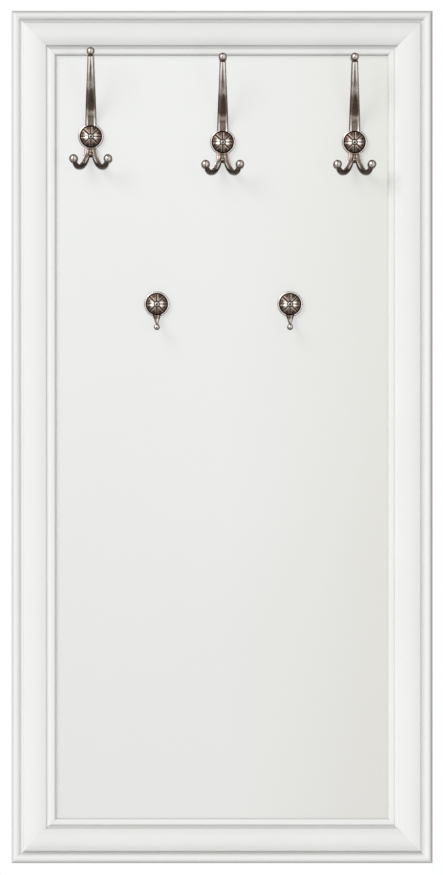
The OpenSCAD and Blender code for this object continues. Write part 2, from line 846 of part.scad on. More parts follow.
module coat_hook_left() { at_hook(coat_left) coat_hook(); }
module coat_hook_centre() { at_hook(coat_centre) coat_hook(); }
module coat_hook_right() { at_hook(coat_right) coat_hook(); }

module small_hook() {
    steps = 13;
    color([0.55, 0.52, 0.49]) difference() {
        union() {
            rotate_extrude() base_section();
            skinned([
                for (i = [0:steps])
                    let (
                        t = i / steps,
                        flare = pow(max(0, 1 - t / small_flare), small_taper),
                        w = blend(small_neck_w, small_root_w, flare) / 2
                    )
                    placed(small_curve, t, [1, 0, 0], section(w, min(w, arm_t / 2), 0, 12))
            ]);
            translate(small_curve[3]) sphere(r = small_ball_r);
        }
        base_cuts();
    }
}

module small_hook_left() { at_hook(small_left) small_hook(); }
module small_hook_right() { at_hook(small_right) small_hook(); }

// Domed rosette with radial grooves, a button at its centre and a spigot behind
module rosette() {
    edge_out = floor_out + rosette_edge;
    crown_out = edge_out + rosette_dome;
    ray_start = button_r + ray_clear;
    ray_drop = dome_r - sqrt(dome_r * dome_r - ray_start * ray_start);
    ray_tilt = asin((rosette_r + ray_start) / 2 / dome_r);
    color([0.5, 0.47, 0.44]) difference() {
        union() {
            rotate_extrude() intersection() {
                translate([0, crown_out - dome_r]) circle(r = dome_r, $fn = 240);
                translate([0, floor_out]) square([rosette_r, rosette_edge + rosette_dome]);
            }
            translate([0, 0, crown_out - button_r / 2]) sphere(r = button_r);
            translate([0, 0, floor_out - spigot_l]) cylinder(r = spigot_r, h = spigot_l + rosette_edge);
        }
        for (i = [0:ray_count - 1]) rotate([0, 0, 360 * i / ray_count])
            translate([ray_start, 0, crown_out - ray_drop]) rotate([0, 90 + ray_tilt, 0])
                cylinder(r = ray_r, h = rosette_r + past);
        translate([0, 0, crown_out + button_r / 2]) sphere(r = dimple_r);
    }
}

module coat_rosette_left() { at_hook(coat_left) rosette(); }
module coat_rosette_centre() { at_hook(coat_centre) rosette(); }
module coat_rosette_right() { at_hook(coat_right) rosette(); }
module small_rosette_left() { at_hook(small_left) rosette(); }
module small_rosette_right() { at_hook(small_right) rosette(); }

module hook_pad() {
    color([0.75, 0.75, 0.73]) difference() {
        cylinder(r = base_r - pad_inset, h = pad_t);
        for (side = [-1, 1]) translate([0, side * hook_screw_pitch / 2, -past])
            cylinder(r = sleeve_bore_r, h = pad_t + 2 * past);
    }
}

module coat_hook_pads() {
    for (place = coat_places) at_hook(place) hook_pad();
}

module small_hook_pads() {
    for (place = small_places) at_hook(place) hook_pad();
}

// Countersunk machine screw from the base's floor to the back of the board
module hook_screw() {
    rotate([90, 0, 0]) difference() {
        union() {
            translate([0, 0, floor_out - hook_screw_l]) cylinder(r = hook_screw_r, h = hook_screw_l);
            translate([0, 0, floor_out - hook_head_h])
                cylinder(r1 = hook_screw_r, r2 = hook_head_r, h = hook_head_h);
        }
        translate([0, 0, floor_out]) mirror([0, 0, 1]) cross_recess(hook_head_r, hook_head_h);
    }
}

module hook_screws(places) {
    color([0.75, 0.74, 0.7]) at_hook_screws(places) translate([0, glass_front_y, 0]) hook_screw();
}

module coat_hook_screws() { hook_screws(coat_places); }
module small_hook_screws() { hook_screws(small_places); }

module glass_sleeves() {
    color([0.92, 0.92, 0.9]) at_hook_screws(concat(coat_places, small_places)) difference() {
        translate([0, board_front_y, 0]) rotate([90, 0, 0]) cylinder(r = sleeve_r, h = glass_t + tape_t);
        hole_through(sleeve_bore_r, glass_front_y, board_front_y);
    }
}

module tee_nuts() {
    color([0.78, 0.77, 0.72]) at_hook_screws(concat(coat_places, small_places)) difference() {
        translate([0, board_back_y, 0]) rotate([90, 0, 0]) union() {
            translate([0, 0, -tee_flange_t]) cylinder(r = tee_flange_r, h = tee_flange_t);
            cylinder(r = tee_r, h = tee_barrel);
        }
        hole_through(tee_bore_r, board_front_y, board_back_y + tee_flange_t);
    }
}

// ---------------------------------------------------------------- what is drawn

frame_top_rail();
frame_bottom_rail();
frame_left_stile();
frame_right_stile();
mitre_splines();
corner_plate_top_left();
corner_plate_top_right();
corner_plate_bottom_left();
corner_plate_bottom_right();
corner_plate_screws();
mirror_glass();
mounting_tapes();
backing_board();
setting_blocks();
side_spacers();
board_clips();
board_clip_screws();
hanger_plate_left();
hanger_plate_right();
hanger_screws();
wall_bumpers();
coat_hook_left();
coat_hook_centre();
coat_hook_right();
coat_rosette_left();
coat_rosette_centre();
coat_rosette_right();
small_hook_left();
small_hook_right();
small_rosette_left();
small_rosette_right();
coat_hook_pads();
small_hook_pads();
coat_hook_screws();
small_hook_screws();
glass_sleeves();
tee_nuts();
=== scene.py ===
"""Looks of a framed wall mirror with coat hooks, built round its packed construction model.

Everything is in metres. X runs to the right, Y into the wall and Z up, and the front faces -Y.
Inside a hook X runs to the right, Y up and Z out from the glass.
"""

import math

import bmesh
import bpy
import numpy as np
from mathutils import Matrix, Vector


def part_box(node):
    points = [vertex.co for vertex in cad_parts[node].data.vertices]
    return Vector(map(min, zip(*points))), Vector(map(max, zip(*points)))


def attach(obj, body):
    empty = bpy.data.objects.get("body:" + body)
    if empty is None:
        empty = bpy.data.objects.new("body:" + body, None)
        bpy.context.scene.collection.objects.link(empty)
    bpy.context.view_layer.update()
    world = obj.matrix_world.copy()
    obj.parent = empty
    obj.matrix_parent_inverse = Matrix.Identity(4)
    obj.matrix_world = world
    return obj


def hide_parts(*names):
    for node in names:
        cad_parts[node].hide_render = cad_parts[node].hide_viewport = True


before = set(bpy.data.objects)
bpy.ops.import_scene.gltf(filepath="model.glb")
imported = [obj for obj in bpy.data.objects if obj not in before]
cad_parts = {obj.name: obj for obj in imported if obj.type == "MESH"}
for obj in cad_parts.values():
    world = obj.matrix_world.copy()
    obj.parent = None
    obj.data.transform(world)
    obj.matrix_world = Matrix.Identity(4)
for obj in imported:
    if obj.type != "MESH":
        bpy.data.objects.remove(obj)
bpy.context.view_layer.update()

bl_info = {
    "name": "Hall mirror with hooks",
    "version": (1, 0, 0),
    "blender": (4, 5, 0),
    "location": "3D View > Sidebar > Hall mirror",
    "description": "Builds the mirror's frame, glass, hooks and back, and the stage they stand on",
    "category": "Add Mesh",
}

MM = 0.001
FRONT_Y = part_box("mirror_glass")[0].y
BACK_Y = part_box("frame_top_rail")[1].y
SIDES = ("left", "right")
HOOKS = {"coat": ("left", "centre", "right"), "small": SIDES}
# An edge that turns by more than this many degrees stays sharp
CREASE = 32.0
# A point this close to a surface counts as lying on it
CLOSE = 0.05 * MM
# A face larger than this, in square metres, stays flat up to its very edge
BROAD_FACE = 15e-6


# ---------------------------------------------------------------- settings

def length(name, millimetres, description):
    return bpy.props.FloatProperty(
        name=name, description=description, default=millimetres * MM, min=0.0,
        precision=5, unit="LENGTH",
    )


def share(name, default, description):
    return bpy.props.FloatProperty(
        name=name, description=description, default=default, min=0.0, max=1.0, subtype="FACTOR",
    )


def number(name, default, description):
    return bpy.props.FloatProperty(name=name, description=description, default=default, min=0.0)


def colour(name, default, description):
    return bpy.props.FloatVectorProperty(
        name=name, description=description, default=default, size=3, min=0.0, max=1.0,
        subtype="COLOR",
    )


class MouldingLook(bpy.types.PropertyGroup):
    """Section and finish of the frame's moulding."""

    band_width: length("Band width", 12.6, "Width of the rounded outer band")
    band_radius: length("Band radius", 6.9, "Radius of the outer band's crown")
    band_drop: length("Band drop", 1.5, "How far the band lies below the crown of the face")
    groove_width: length("Groove width", 5.2, "Width of the groove beside the band")
    groove_depth: length("Groove depth", 4, "Depth of that groove below the edge of the face")
    flank: length("Flank", 1.5, "How far the sides of groove and hollow lean in over their height")
    camber: length("Camber", 2, "Rise of the broad face above its edges")
    hollow_width: length("Hollow width", 6.5, "Width of the hollow inside the face")
    hollow_depth: length("Hollow depth", 3.2, "Depth of that hollow below the edge of the face")
    bead_width: length("Bead width", 8.8, "Width of the bead at the sight edge")
    bead_round: length("Bead round", 4, "Radius of the bead's rounded edge")
    fillet: length("Fillet", 0.8, "Width of the flat fillet at the sight edge")
    lip: length("Lip", 8, "Thickness of the lip in front of the glass")
    rebate_width: length("Rebate width", 10, "Width of the rebate")
    rebate_depth: length("Rebate depth", 16, "Depth of the rebate")
    arris: length("Arris", 0.35, "Radius that takes the sharpness off the foiled corners")
    # Painted shade in the grooves: how far from a groove's wall it reaches, and how dark it is on
    # rails and on stiles
    shade_on_rails: length("Dust on rails", 6.5, "How far from a groove's wall dust lies on a rail")
    shade_on_stiles: length(
        "Dust on stiles", 1.3, "How far from a groove's wall dust lies on a stile")
    rail_shade: share("Rail dust", 0.6, "How thick the dust lies in the grooves of a rail")
    stile_shade: share("Stile dust", 0.5, "How thick the dust lies in the grooves of a stile")
    # Painted shade along the outer edge: the width of the greyed strip, and how dark it is on each
    # member
    shaded_edge_width: length("Shaded edge", 5.6, "Width of the greyed strip along the outer edge")
    edge_shade_left: share("Shading at the left", 0.52, "How grey the outer edge of the left stile is")
    edge_shade_right: share("Shading at the right", 1.0, "How grey the outer edge of the right stile is")
    edge_shade_top: share("Shading at the top", 1.0, "How grey the outer edge of the top rail is")
    edge_shade_bottom: share("Shading at the bottom", 0.7, "How grey the outer edge of the bottom rail is")
    # The rails' foil is painted a little darker than the stiles': painted shade
    rail_shade_tone: share("Rail tone", 0.95, "Brightness of the rails' foil beside that of the stiles")
    mitre_dip: length("Mitre dip", 0.07, "Depth of the fine line at a mitre")
    foil: colour("Foil", (0.85, 0.853, 0.836), "Colour of the satin foil")
    # Colour of the painted shade in the grooves and along the outer edge
    painted_shade: colour("Shade", (0.299, 0.289, 0.277), "Colour that gathers in the grooves")
    core: colour("Core", (0.5, 0.37, 0.24), "Colour of the bare core on the back")


class GlassLook(bpy.types.PropertyGroup):
    """Finish of the silvered glass."""

    silver: colour("Silver", (0.862, 0.872, 0.858), "Tint of the silvering")
    # Painted reflection: how much of the silver's colour is left at the bottom and at the right
    painted_reflection_low: colour("Reflection low", (0.9, 0.893, 0.888), "What is left of the tint at the bottom")
    painted_reflection_right: colour("Reflection right", (0.925, 0.91, 0.88), "What is left of the tint at the right")
    haze: share("Haze", 0.34, "Share of the light that the surface scatters")
    edge: colour("Edge", (0.18, 0.36, 0.3), "Colour of the ground edge")
    paint: colour("Back paint", (0.2, 0.22, 0.24), "Colour of the paint behind the silver")
    arris: length("Arris", 0.4, "Width of the ground arris")


class HookLook(bpy.types.PropertyGroup):
    """Sizes and finish of the cast hooks."""

    base_radius: length("Base radius", 18, "Radius of the round base")
    rim_width: length("Rim width", 2.2, "Width of the rim round the rosette")
    rim_chamfer: length("Rim chamfer", 0.9, "Width of the rim's chamfer")
    pad: length("Pad", 0.8, "Thickness of the pad behind the base")
    floor: length("Floor", 4.0, "Height of the recess floor above the glass")
    rim: length("Rim", 6.2, "Height of the rim above the glass")
    screw_pitch: length("Screw pitch", 18, "Distance between the two screws")
    bar: length("Bar", 4.5, "Height of the arm's middle above the glass at its foot")
    arm_width: length("Arm width", 16, "Width of the upper arm at its foot")
    arm_neck: length("Arm neck", 8.4, "Width of the upper arm under its ball")
    arm_thickness: length("Arm thickness", 6, "Thickness of the upper arm")
    arm_rise: length("Arm rise", 120.5, "Height of the upper ball above the base's centre")
    arm_reach: length("Arm reach", 62, "Distance of the upper ball from the glass")
    arm_ball: length("Arm ball", 5.8, "Radius of the upper ball")
    prong_width: length("Prong width", 8.8, "Width of a lower prong at its root")
    prong_neck: length("Prong neck", 6.0, "Width of a lower prong under its ball")
    prong_root: length("Prong root", 4.5, "Sideways distance of a lower prong's root")
    prong_root_pull: length("Prong root pull", 28, "Pull that bends a lower prong at its root")
    prong_tip_pull: length("Prong tip pull", 23, "Pull that bends a lower prong under its ball")
    prong_tip_lean: length("Prong tip lean", 5, "How far that pull leans in and back")
    web_end: length("Web end", 3.2, "Width of the web in the crotch")
    prong_spread: length("Prong spread", 24.5, "Sideways distance of a lower ball")
    prong_drop: length("Prong drop", 32, "Depth of a lower ball below the base's centre")
    prong_reach: length("Prong reach", 44, "Distance of a lower ball from the glass")
    prong_ball: length("Prong ball", 6.2, "Radius of a lower ball")
    small_width: length("Small prong width", 18, "Width of the small prong's hidden root")
    small_flare: share("Small flare", 0.55, "Share of the small prong over which it narrows")
    small_neck: length("Small prong neck", 4.4, "Width of the small prong under its ball")
    small_drop: length("Small drop", 32.7, "Depth of the small ball below the base's centre")
    small_reach: length("Small reach", 33, "Distance of the small ball from the glass")
    small_ball: length("Small ball", 4.3, "Radius of the small ball")
    # The brightest levels also carry the painted highlights on the balls, the rosettes and the
    # small prongs
    silver: colour("Silver", (0.85, 0.815, 0.775), "Colour of the silver where it is rubbed bright")
    plate: colour("Plate", (0.23, 0.181, 0.149), "Colour of the silver where it is untouched")
    oxide: colour("Oxide", (0.035, 0.019, 0.0125), "Colour of the dark oxide in the hollows")


class RosetteLook(bpy.types.PropertyGroup):
    """Sizes of the sunburst rosette."""

    radius: length("Radius", 15.2, "Radius of the rosette")
    edge: length("Edge", 1.3, "Thickness of the rosette at its edge")
    dome: length("Dome", 2.8, "Rise of its dome")
    button: length("Button", 3.3, "Radius of the button")
    dimple: length("Dimple", 1.5, "Radius of the button's dimple")
    ray: length("Ray", 0.6, "Half the width of a radial groove")
    rays: bpy.props.IntProperty(
        name="Rays", description="Number of radial grooves", default=8, min=3)
    spigot: length("Spigot", 3, "Radius of the spigot behind it")
    spigot_length: length("Spigot length", 1.9, "Length of the spigot")


class BackLook(bpy.types.PropertyGroup):
    """Finishes of what is fitted to the back."""

    plate_edge: length("Plate edge", 0.2, "Width of the softened edge of a plate")
    board_edge: length("Board edge", 0.3, "Width of the softened edge of the board")
    zinc: colour("Zinc", (0.55, 0.57, 0.6), "Colour of the zinc plate")
    passivate: colour("Passivate", (0.62, 0.5, 0.24), "Colour of the yellow passivated screws")
    board: colour("Board", (0.44, 0.31, 0.19), "Colour of the fibreboard")
    tape: colour("Tape", (0.035, 0.035, 0.037), "Colour of the foam tape")
    rubber: colour("Rubber", (0.03, 0.03, 0.031), "Colour of the blocks")
    felt: colour("Felt", (0.2, 0.2, 0.195), "Colour of the bumpers")
    nylon: colour("Nylon", (0.8, 0.79, 0.74), "Colour of the sleeves")
    beech: colour("Beech", (0.62, 0.44, 0.27), "Colour of the splines")
    pad: colour("Pad", (0.6, 0.6, 0.58), "Colour of the soft pads behind the hooks")


class StageLook(bpy.types.PropertyGroup):
    """Camera, light and floor."""

    lens: number("Lens", 700.0, "Focal length of the camera in millimetres")
    pixel: length("Pixel", 1.42606, "Width that one pixel of the picture covers at the frame")
    right: length("Right", 0.8, "How far the object stands to the right of the picture's middle")
    up: length("Up", 0.7, "How far the object stands above the picture's middle")
    key: number("Key", 600.0, "Power of the soft light at the left, in watts")
    fill: number("Fill", 9.0, "Power of the soft light at the right, in watts")
    back: number("Back light", 26.0, "Power of the soft light behind, in watts")
    sky: share("Sky", 0.45, "Brightness of the surroundings as a light")
    floor: colour("Floor", (0.8, 0.8, 0.795), "Colour of the floor")
    floor_drop: length("Floor drop", 120, "How far the floor lies below the frame")


class HallMirror(bpy.types.PropertyGroup):
    """All the settings of the mirror."""

    moulding: bpy.props.PointerProperty(type=MouldingLook)
    glass: bpy.props.PointerProperty(type=GlassLook)
    hook: bpy.props.PointerProperty(type=HookLook)
    rosette: bpy.props.PointerProperty(type=RosetteLook)
    back: bpy.props.PointerProperty(type=BackLook)
    stage: bpy.props.PointerProperty(type=StageLook)


# ---------------------------------------------------------------- meshes

def solid(name, points, faces, materials=(), crease=CREASE):
    """A new object from points and faces, smooth but for edges sharper than the crease."""
    mesh = bpy.data.meshes.new(name)
    mesh.from_pydata([tuple(float(v) for v in p) for p in points], [], faces)
    shape = bmesh.new()
    shape.from_mesh(mesh)
    bmesh.ops.recalc_face_normals(shape, faces=shape.faces)
    shape.to_mesh(mesh)
    shape.free()
    return dressed(name, mesh, materials, crease)


def dressed(name, mesh, materials, crease=CREASE):
    """A new object that shows the mesh in its materials."""
    mesh.polygons.foreach_set("use_smooth", [True] * len(mesh.polygons))
    mark_sharp(mesh, crease)
    for material in materials:
        mesh.materials.append(material)
    piece = bpy.data.objects.new(name, mesh)
    bpy.context.scene.collection.objects.link(piece)
    return piece


def mark_sharp(mesh, crease=CREASE):
    mesh.set_sharp_from_angle(angle=math.radians(crease))


def lofted(rings):
    """Points and faces of a closed skin over rings of equal length, with flat ends."""
    rings = np.asarray(rings, float)
    count, sides = rings.shape[:2]
    faces = [
        (i * sides + j, i * sides + (j + 1) % sides,
         (i + 1) * sides + (j + 1) % sides, (i + 1) * sides + j)
        for i in range(count - 1) for j in range(sides)
    ]
    faces.append(tuple(range(sides))[::-1])
    faces.append(tuple((count - 1) * sides + j for j in range(sides)))
    return rings.reshape(-1, 3), faces


def full_turn(sides):
    """Angles spaced evenly round a circle."""
    return np.arange(sides) * 2 * math.pi / sides


def turned(profile, sides):
    """Rings of a turned shape: profile holds (radius, height) pairs, turned about Z."""
    angles = full_turn(sides)
    return [
        np.stack([r * np.cos(angles), r * np.sin(angles), np.full(sides, z)], 1)
        for r, z in profile
    ]


def squared_off(wave, power):
    """A sine or cosine pushed out towards a square: the lower the power, the squarer."""
    return np.sign(wave) * np.abs(wave) ** power


def corner_arc(before, corner, after, radius, steps=4):
    """Points that round the corner of an outline."""
    into = (corner - before) / np.linalg.norm(corner - before)
    out = (after - corner) / np.linalg.norm(after - corner)
    turn = math.acos(max(-1.0, min(1.0, float(into @ out))))
    if turn < 1e-3:
        return [corner]
    cut = radius * math.tan(turn / 2)
    start, end = corner - into * cut, corner + out * cut
    centre = corner + (out - into) / np.linalg.norm(out - into) * radius / math.cos(turn / 2)
    low, high = start - centre, end - centre
    return [
        centre + (math.sin((1 - k) * turn) * low + math.sin(k * turn) * high) / math.sin(turn)
        for k in np.linspace(0, 1, steps + 1)
    ]


def combined(body, tool, operation):
    """Joins the tool to the body, or cuts it from the body. The tool is used up."""
    change = body.modifiers.new("combine", "BOOLEAN")
    change.operation, change.solver, change.object = operation, "EXACT", tool
    bpy.context.view_layer.update()
    graph = bpy.context.evaluated_depsgraph_get()
    mesh = bpy.data.meshes.new_from_object(body.evaluated_get(graph))
    if not len(mesh.polygons):
        raise RuntimeError(f"{body.name}: nothing is left after {operation}")
    body.modifiers.clear()
    old, body.data = body.data, mesh
    bpy.data.meshes.remove(old)
    bpy.data.objects.remove(tool)
    mark_sharp(mesh)


def without_specks(piece, grain=0.005 * MM):
    """The piece without the specks of faces that cutting and joining leave behind."""
    shape = bmesh.new()
    shape.from_mesh(piece.data)
    bmesh.ops.remove_doubles(shape, verts=shape.verts, dist=grain)
    bmesh.ops.dissolve_degenerate(shape, edges=shape.edges, dist=grain)
    shape.to_mesh(piece.data)
    shape.free()
    mark_sharp(piece.data)
    return piece


def placed(piece, slot, *nodes):
    """Ties a finished piece to the object and hides the nodes it stands for. The slot is not used.
    """
    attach(piece, "root")
    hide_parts(*nodes)


def set_share(mesh, name, values):
    """Keeps one number from 0 to 1 for each point of the mesh, for its material to read."""
    layer = mesh.attributes.new(name, "FLOAT", "POINT")
    layer.data.foreach_set("value", np.clip(values, 0, 1).astype(np.float32))


def smooth_step(low, high, value):
    """0 at low, rising smoothly to 1 at high."""
    k = np.clip((value - low) / (high - low), 0, 1)
    return k * k * (3 - 2 * k)


def zone(start, full, fade, end, value):
    """1 from full to fade, falling smoothly to 0 at start and end."""
    return smooth_step(start, full, value) * smooth_step(end, fade, value)


def bump_at(middle, width, value):
    """1 at the middle, falling smoothly to 0 either side."""
    return np.exp(-(((value - middle) / width) ** 2))


# ---------------------------------------------------------------- materials

class Nodes:
    """The nodes of a material or a world in the making."""

    def __init__(self, tree):
        self.tree = tree

    def node(self, kind, settings=None, **inputs):
        made = self.tree.nodes.new(kind)
        for name, value in (settings or {}).items():
            setattr(made, name, value)
        for name, value in inputs.items():
            self.feed(made.inputs[name.replace("_", " ")], value)
        return made

    def feed(self, socket, value):
        if isinstance(value, bpy.types.NodeSocket):
            self.tree.links.new(value, socket)
        else:
            socket.default_value = value

    def fed(self, node, *values):
        """The node's first output, with the values fed to its first inputs."""
        for socket, value in zip(node.inputs, values):
            self.feed(socket, value)
        return node.outputs[0]

    def sum_of(self, first, second, clamp=False):
        kind = {"operation": "ADD", "use_clamp": clamp}
        return self.fed(self.node("ShaderNodeMath", kind), first, second)

    def product_of(self, first, second):
        return self.fed(self.node("ShaderNodeMath", {"operation": "MULTIPLY"}), first, second)

    def ranged(self, value, low, high, new_low=0.0, new_high=1.0):
        return self.fed(self.node("ShaderNodeMapRange"), value, low, high, new_low, new_high)

    def blended(self, share_of_second, first, second):
        """Two shaders mixed."""
        return self.fed(self.node("ShaderNodeMixShader"), share_of_second, first, second)


class Finish(Nodes):
    """A procedural material in the making: one principled shader and what feeds it."""

    def __init__(self, name, roughness=0.5, metallic=0.0, **sockets):
        self.material = bpy.data.materials.new(name)
        self.material.use_nodes = True
        super().__init__(self.material.node_tree)
        self.shader = self.tree.nodes["Principled BSDF"]
        for socket, value in {"Roughness": roughness, "Metallic": metallic, **sockets}.items():
            self.shader.inputs[socket.replace("_", " ")].default_value = value
        self.place = self.node("ShaderNodeTexCoord").outputs["Object"]

    def stretched(self, x, y, z):
        """The place in the object, drawn out along the axes."""
        return self.node("ShaderNodeMapping", Vector=self.place, Scale=(x, y, z)).outputs[0]

    def noise(self, scale, detail=2.0, place=None, rough=0.5):
        return self.node(
            "ShaderNodeTexNoise", Vector=place or self.place, Scale=scale, Detail=detail,
            Roughness=rough,
        ).outputs["Fac"]

    def cells(self, scale, place):
        return self.node("ShaderNodeTexVoronoi", Vector=place, Scale=scale).outputs["Distance"]

    def held(self, name):
        """A number that the mesh holds for each of its points."""
        return self.node("ShaderNodeAttribute", {"attribute_name": name}).outputs["Fac"]

    def mixed(self, share_of_second, first, second, blend="MIX"):
        """Two colours mixed, or multiplied."""
        made = self.node("ShaderNodeMix", {"data_type": "RGBA", "blend_type": blend})
        self.feed(made.inputs[0], share_of_second)
        for socket, value in ((made.inputs[6], first), (made.inputs[7], second)):
            self.feed(socket, value if isinstance(value, bpy.types.NodeSocket) else (*value, 1.0))
        return made.outputs[2]

    def bumped(self, height, distance, strength=1.0, under=None):
        made = self.node("ShaderNodeBump", Height=height, Distance=distance, Strength=strength)
        if under is not None:
            self.feed(made.inputs["Normal"], under)
        return made.outputs[0]

    def done(self, colour, roughness=None, normal=None):
        for socket, value in (("Base Color", colour), ("Roughness", roughness), ("Normal", normal)):
            if value is not None:
                self.feed(self.shader.inputs[socket], value)
        return self.material


def tinted(rgb, factor):
    """The colour made lighter or darker."""
    return tuple(min(1.0, c * factor) for c in rgb)


def foil_finish(look, name, tone):
    """Satin white foil: a faint peel in the surface, and painted shade in its grooves and along its
    outer edge, as much as the mesh says. A tone below 1 gives a darker copy of the foil: painted
    shade.
    """
    made = Finish(name, roughness=0.4, Specular_IOR_Level=0.4)
    shelter = made.held("shelter")
    cloud = made.ranged(made.noise(9.0, 3.0), 0.3, 0.7)
    base = made.mixed(cloud, tinted(look.foil, 0.985 * tone), tinted(look.foil, tone))
    speckle = made.ranged(made.noise(700.0, 3.0), 0.3, 0.7, 0.8, 0.92)
    # Painted shade: the foil goes over into the shade colour as far as the mesh says, broken up by
    # the speckle
    shade_amount = made.product_of(made.product_of(shelter, speckle), 0.9)
    peel = made.bumped(made.noise(650.0, 3.0), 0.00006, 0.35)
    grain = made.bumped(made.noise(90.0, 4.0, made.stretched(1.0, 1.0, 0.12)), 0.00012, 0.25, peel)
    rough = made.ranged(made.noise(60.0, 2.0), 0.2, 0.8, 0.36, 0.46)
    return made.done(made.mixed(shade_amount, base, look.painted_shade), rough, grain)


def fibre_finish(name, rgb):
    """Bare wood fibre: short pressed fibres in several browns."""
    made = Finish(name, roughness=0.85, Specular_IOR_Level=0.2)
    fibres = made.noise(700.0, 5.0, made.stretched(1.0, 1.0, 0.35), 0.7)
    flecks = made.ranged(made.cells(520.0, made.stretched(1.0, 1.0, 0.4)), 0.05, 0.45)
    patch = made.noise(14.0, 3.0)
    base = made.mixed(made.ranged(fibres, 0.3, 0.7), tinted(rgb, 0.72), tinted(rgb, 1.2))
    base = made.mixed(made.ranged(flecks, 0.0, 1.0, 0.3, 0.0), base, tinted(rgb, 0.5))
    base = made.mixed(made.ranged(patch, 0.35, 0.65, 0.0, 0.25), base, tinted(rgb, 1.3))
    rough = made.ranged(fibres, 0.2, 0.8, 0.75, 0.95)
    return made.done(base, rough, made.bumped(fibres, 0.00025, 0.5))


def silvered_finish(look):
    """Silvered glass: almost all mirror, with a little haze, and a painted reflection that darkens
    it towards the lower right corner.
    """
    made = Finish(
        "silvering", roughness=0.03, metallic=1.0 - look.haze, Coat_Weight=0.6,
        Coat_Roughness=0.0, Coat_IOR=1.5,
    )
    split = made.node("ShaderNodeSeparateXYZ", Vector=made.place)
    low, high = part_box("mirror_glass")
    across = made.ranged(split.outputs[0], low.x, high.x)
    down = made.ranged(split.outputs[2], high.z, low.z)
    drift = made.ranged(made.noise(2.2, 1.0), 0.3, 0.7, -0.05, 0.05)
    # Painted reflection: the silver darkens towards the bottom and towards the right
    low_share = made.ranged(made.sum_of(down, drift), 0.15, 1.0)
    right_share = made.ranged(made.sum_of(across, drift), 0.5, 1.0)
    painted_reflection_silver = tuple(a * b for a, b in zip(look.silver, look.painted_reflection_low))
    silver = made.mixed(low_share, look.silver, painted_reflection_silver)
    silver = made.mixed(right_share, silver, look.painted_reflection_right, blend="MULTIPLY")
    smear = made.ranged(made.noise(38.0, 4.0, made.stretched(1.0, 1.0, 0.3)), 0.45, 0.8, 0.0, 0.03)
    return made.done(made.mixed(smear, silver, tinted(look.silver, 0.85)))


def antique_finish(look):
    """Antique silver. The mesh says how bright each point is, from wear and from painted highlights
    and shade: 0 is oxide, 1 silver.
    """
    made = Finish("worn_antique_silver", roughness=0.3, metallic=1.0)
    rubbed = made.held("rubbed")
    mottle = made.ranged(made.noise(620.0, 4.0, rough=0.65), 0.25, 0.75, -0.13, 0.13)
    stain = made.ranged(made.noise(150.0, 3.0), 0.3, 0.7, -0.07, 0.07)
    uneven = made.product_of(made.sum_of(mottle, stain), made.ranged(rubbed, 0.0, 0.3))
    level = made.sum_of(rubbed, uneven)
    dark = made.mixed(made.ranged(level, 0.02, 0.42), look.oxide, look.plate)
    base = made.mixed(made.ranged(level, 0.42, 0.92), dark, look.silver)
    scratches = made.noise(1900.0, 2.0, made.stretched(1.0, 1.0, 0.15))
    rough = made.ranged(level, 0.0, 0.9, 0.42, 0.2)
    rough = made.sum_of(rough, made.ranged(scratches, 0.3, 0.7, -0.04, 0.04))
    pits = made.bumped(made.noise(900.0, 4.0, rough=0.6), 0.00007, 0.5)
    return made.done(base, rough, made.bumped(scratches, 0.00002, 0.3, pits))


def zinc_finish(look):
    """Bright zinc plate: fine drawn lines and a cloudy bloom."""
    made = Finish("zinc_plate", roughness=0.32, metallic=1.0)
    drawn = made.noise(900.0, 2.0, made.stretched(1.0, 1.0, 0.08))
    bloom = made.ranged(made.noise(70.0, 4.0), 0.35, 0.7)
    base = made.mixed(bloom, look.zinc, tinted(look.zinc, 0.78))
    rough = made.ranged(bloom, 0.0, 1.0, 0.26, 0.4)
    rough = made.sum_of(rough, made.ranged(drawn, 0.3, 0.7, -0.04, 0.04))
    return made.done(base, rough, made.bumped(drawn, 0.00003, 0.4))


def passivate_finish(look):
    """Yellow passivated zinc, with its faint change of colour."""
    made = Finish("passivated_steel", roughness=0.3, metallic=1.0)
    drift = made.ranged(made.noise(260.0, 2.0), 0.35, 0.65)
    base = made.mixed(drift, look.passivate, (0.56, 0.52, 0.38))
    blush = made.ranged(made.noise(130.0, 1.0), 0.5, 0.7, 0.0, 0.35)
    base = made.mixed(blush, base, (0.5, 0.33, 0.3))
    return made.done(base, made.ranged(drift, 0.0, 1.0, 0.24, 0.38))


def grained_finish(name, rgb, scale, rough, bump, streak=None, light=1.15, **sockets):
    """One even grain in colour, gloss and surface: paint, ground glass, rubber, foam, nylon.
    rough holds the least and the most roughness, bump the grain's height and strength, and
    streak how far the grain is drawn out in height."""
    made = Finish(name, roughness=sum(rough) / 2, **sockets)
    grain = made.noise(scale, 3.0, made.stretched(1.0, 1.0, streak) if streak else None)
    base = made.mixed(grain, tinted(rgb, 0.85), tinted(rgb, light))
    return made.done(base, made.ranged(grain, 0.3, 0.7, *rough), made.bumped(grain, *bump))


def felt_finish(look):
    """Dense felt: matted fibres with a soft sheen."""
    made = Finish("grey_felt", roughness=0.95, Sheen_Weight=0.4, Sheen_Roughness=0.5)
    fibres = made.noise(1400.0, 6.0, rough=0.75)
    matted = made.ranged(fibres, 0.3, 0.7)
    base = made.mixed(matted, tinted(look.felt, 0.6), tinted(look.felt, 1.35))
    return made.done(base, normal=made.bumped(fibres, 0.0004, 0.8))


def beech_finish(look):
    """Plain beech with its short rays."""
    made = Finish("beech", roughness=0.6)
    rays = made.cells(900.0, made.stretched(1.0, 1.0, 0.2))
    rings = made.noise(120.0, 3.0, made.stretched(1.0, 1.0, 0.08))
    base = made.mixed(rings, tinted(look.beech, 0.85), tinted(look.beech, 1.12))
    base = made.mixed(made.ranged(rays, 0.0, 0.25, 0.3, 0.0), base, tinted(look.beech, 0.6))
    return made.done(base, normal=made.bumped(rings, 0.0001, 0.3))


# ---------------------------------------------------------------- frame

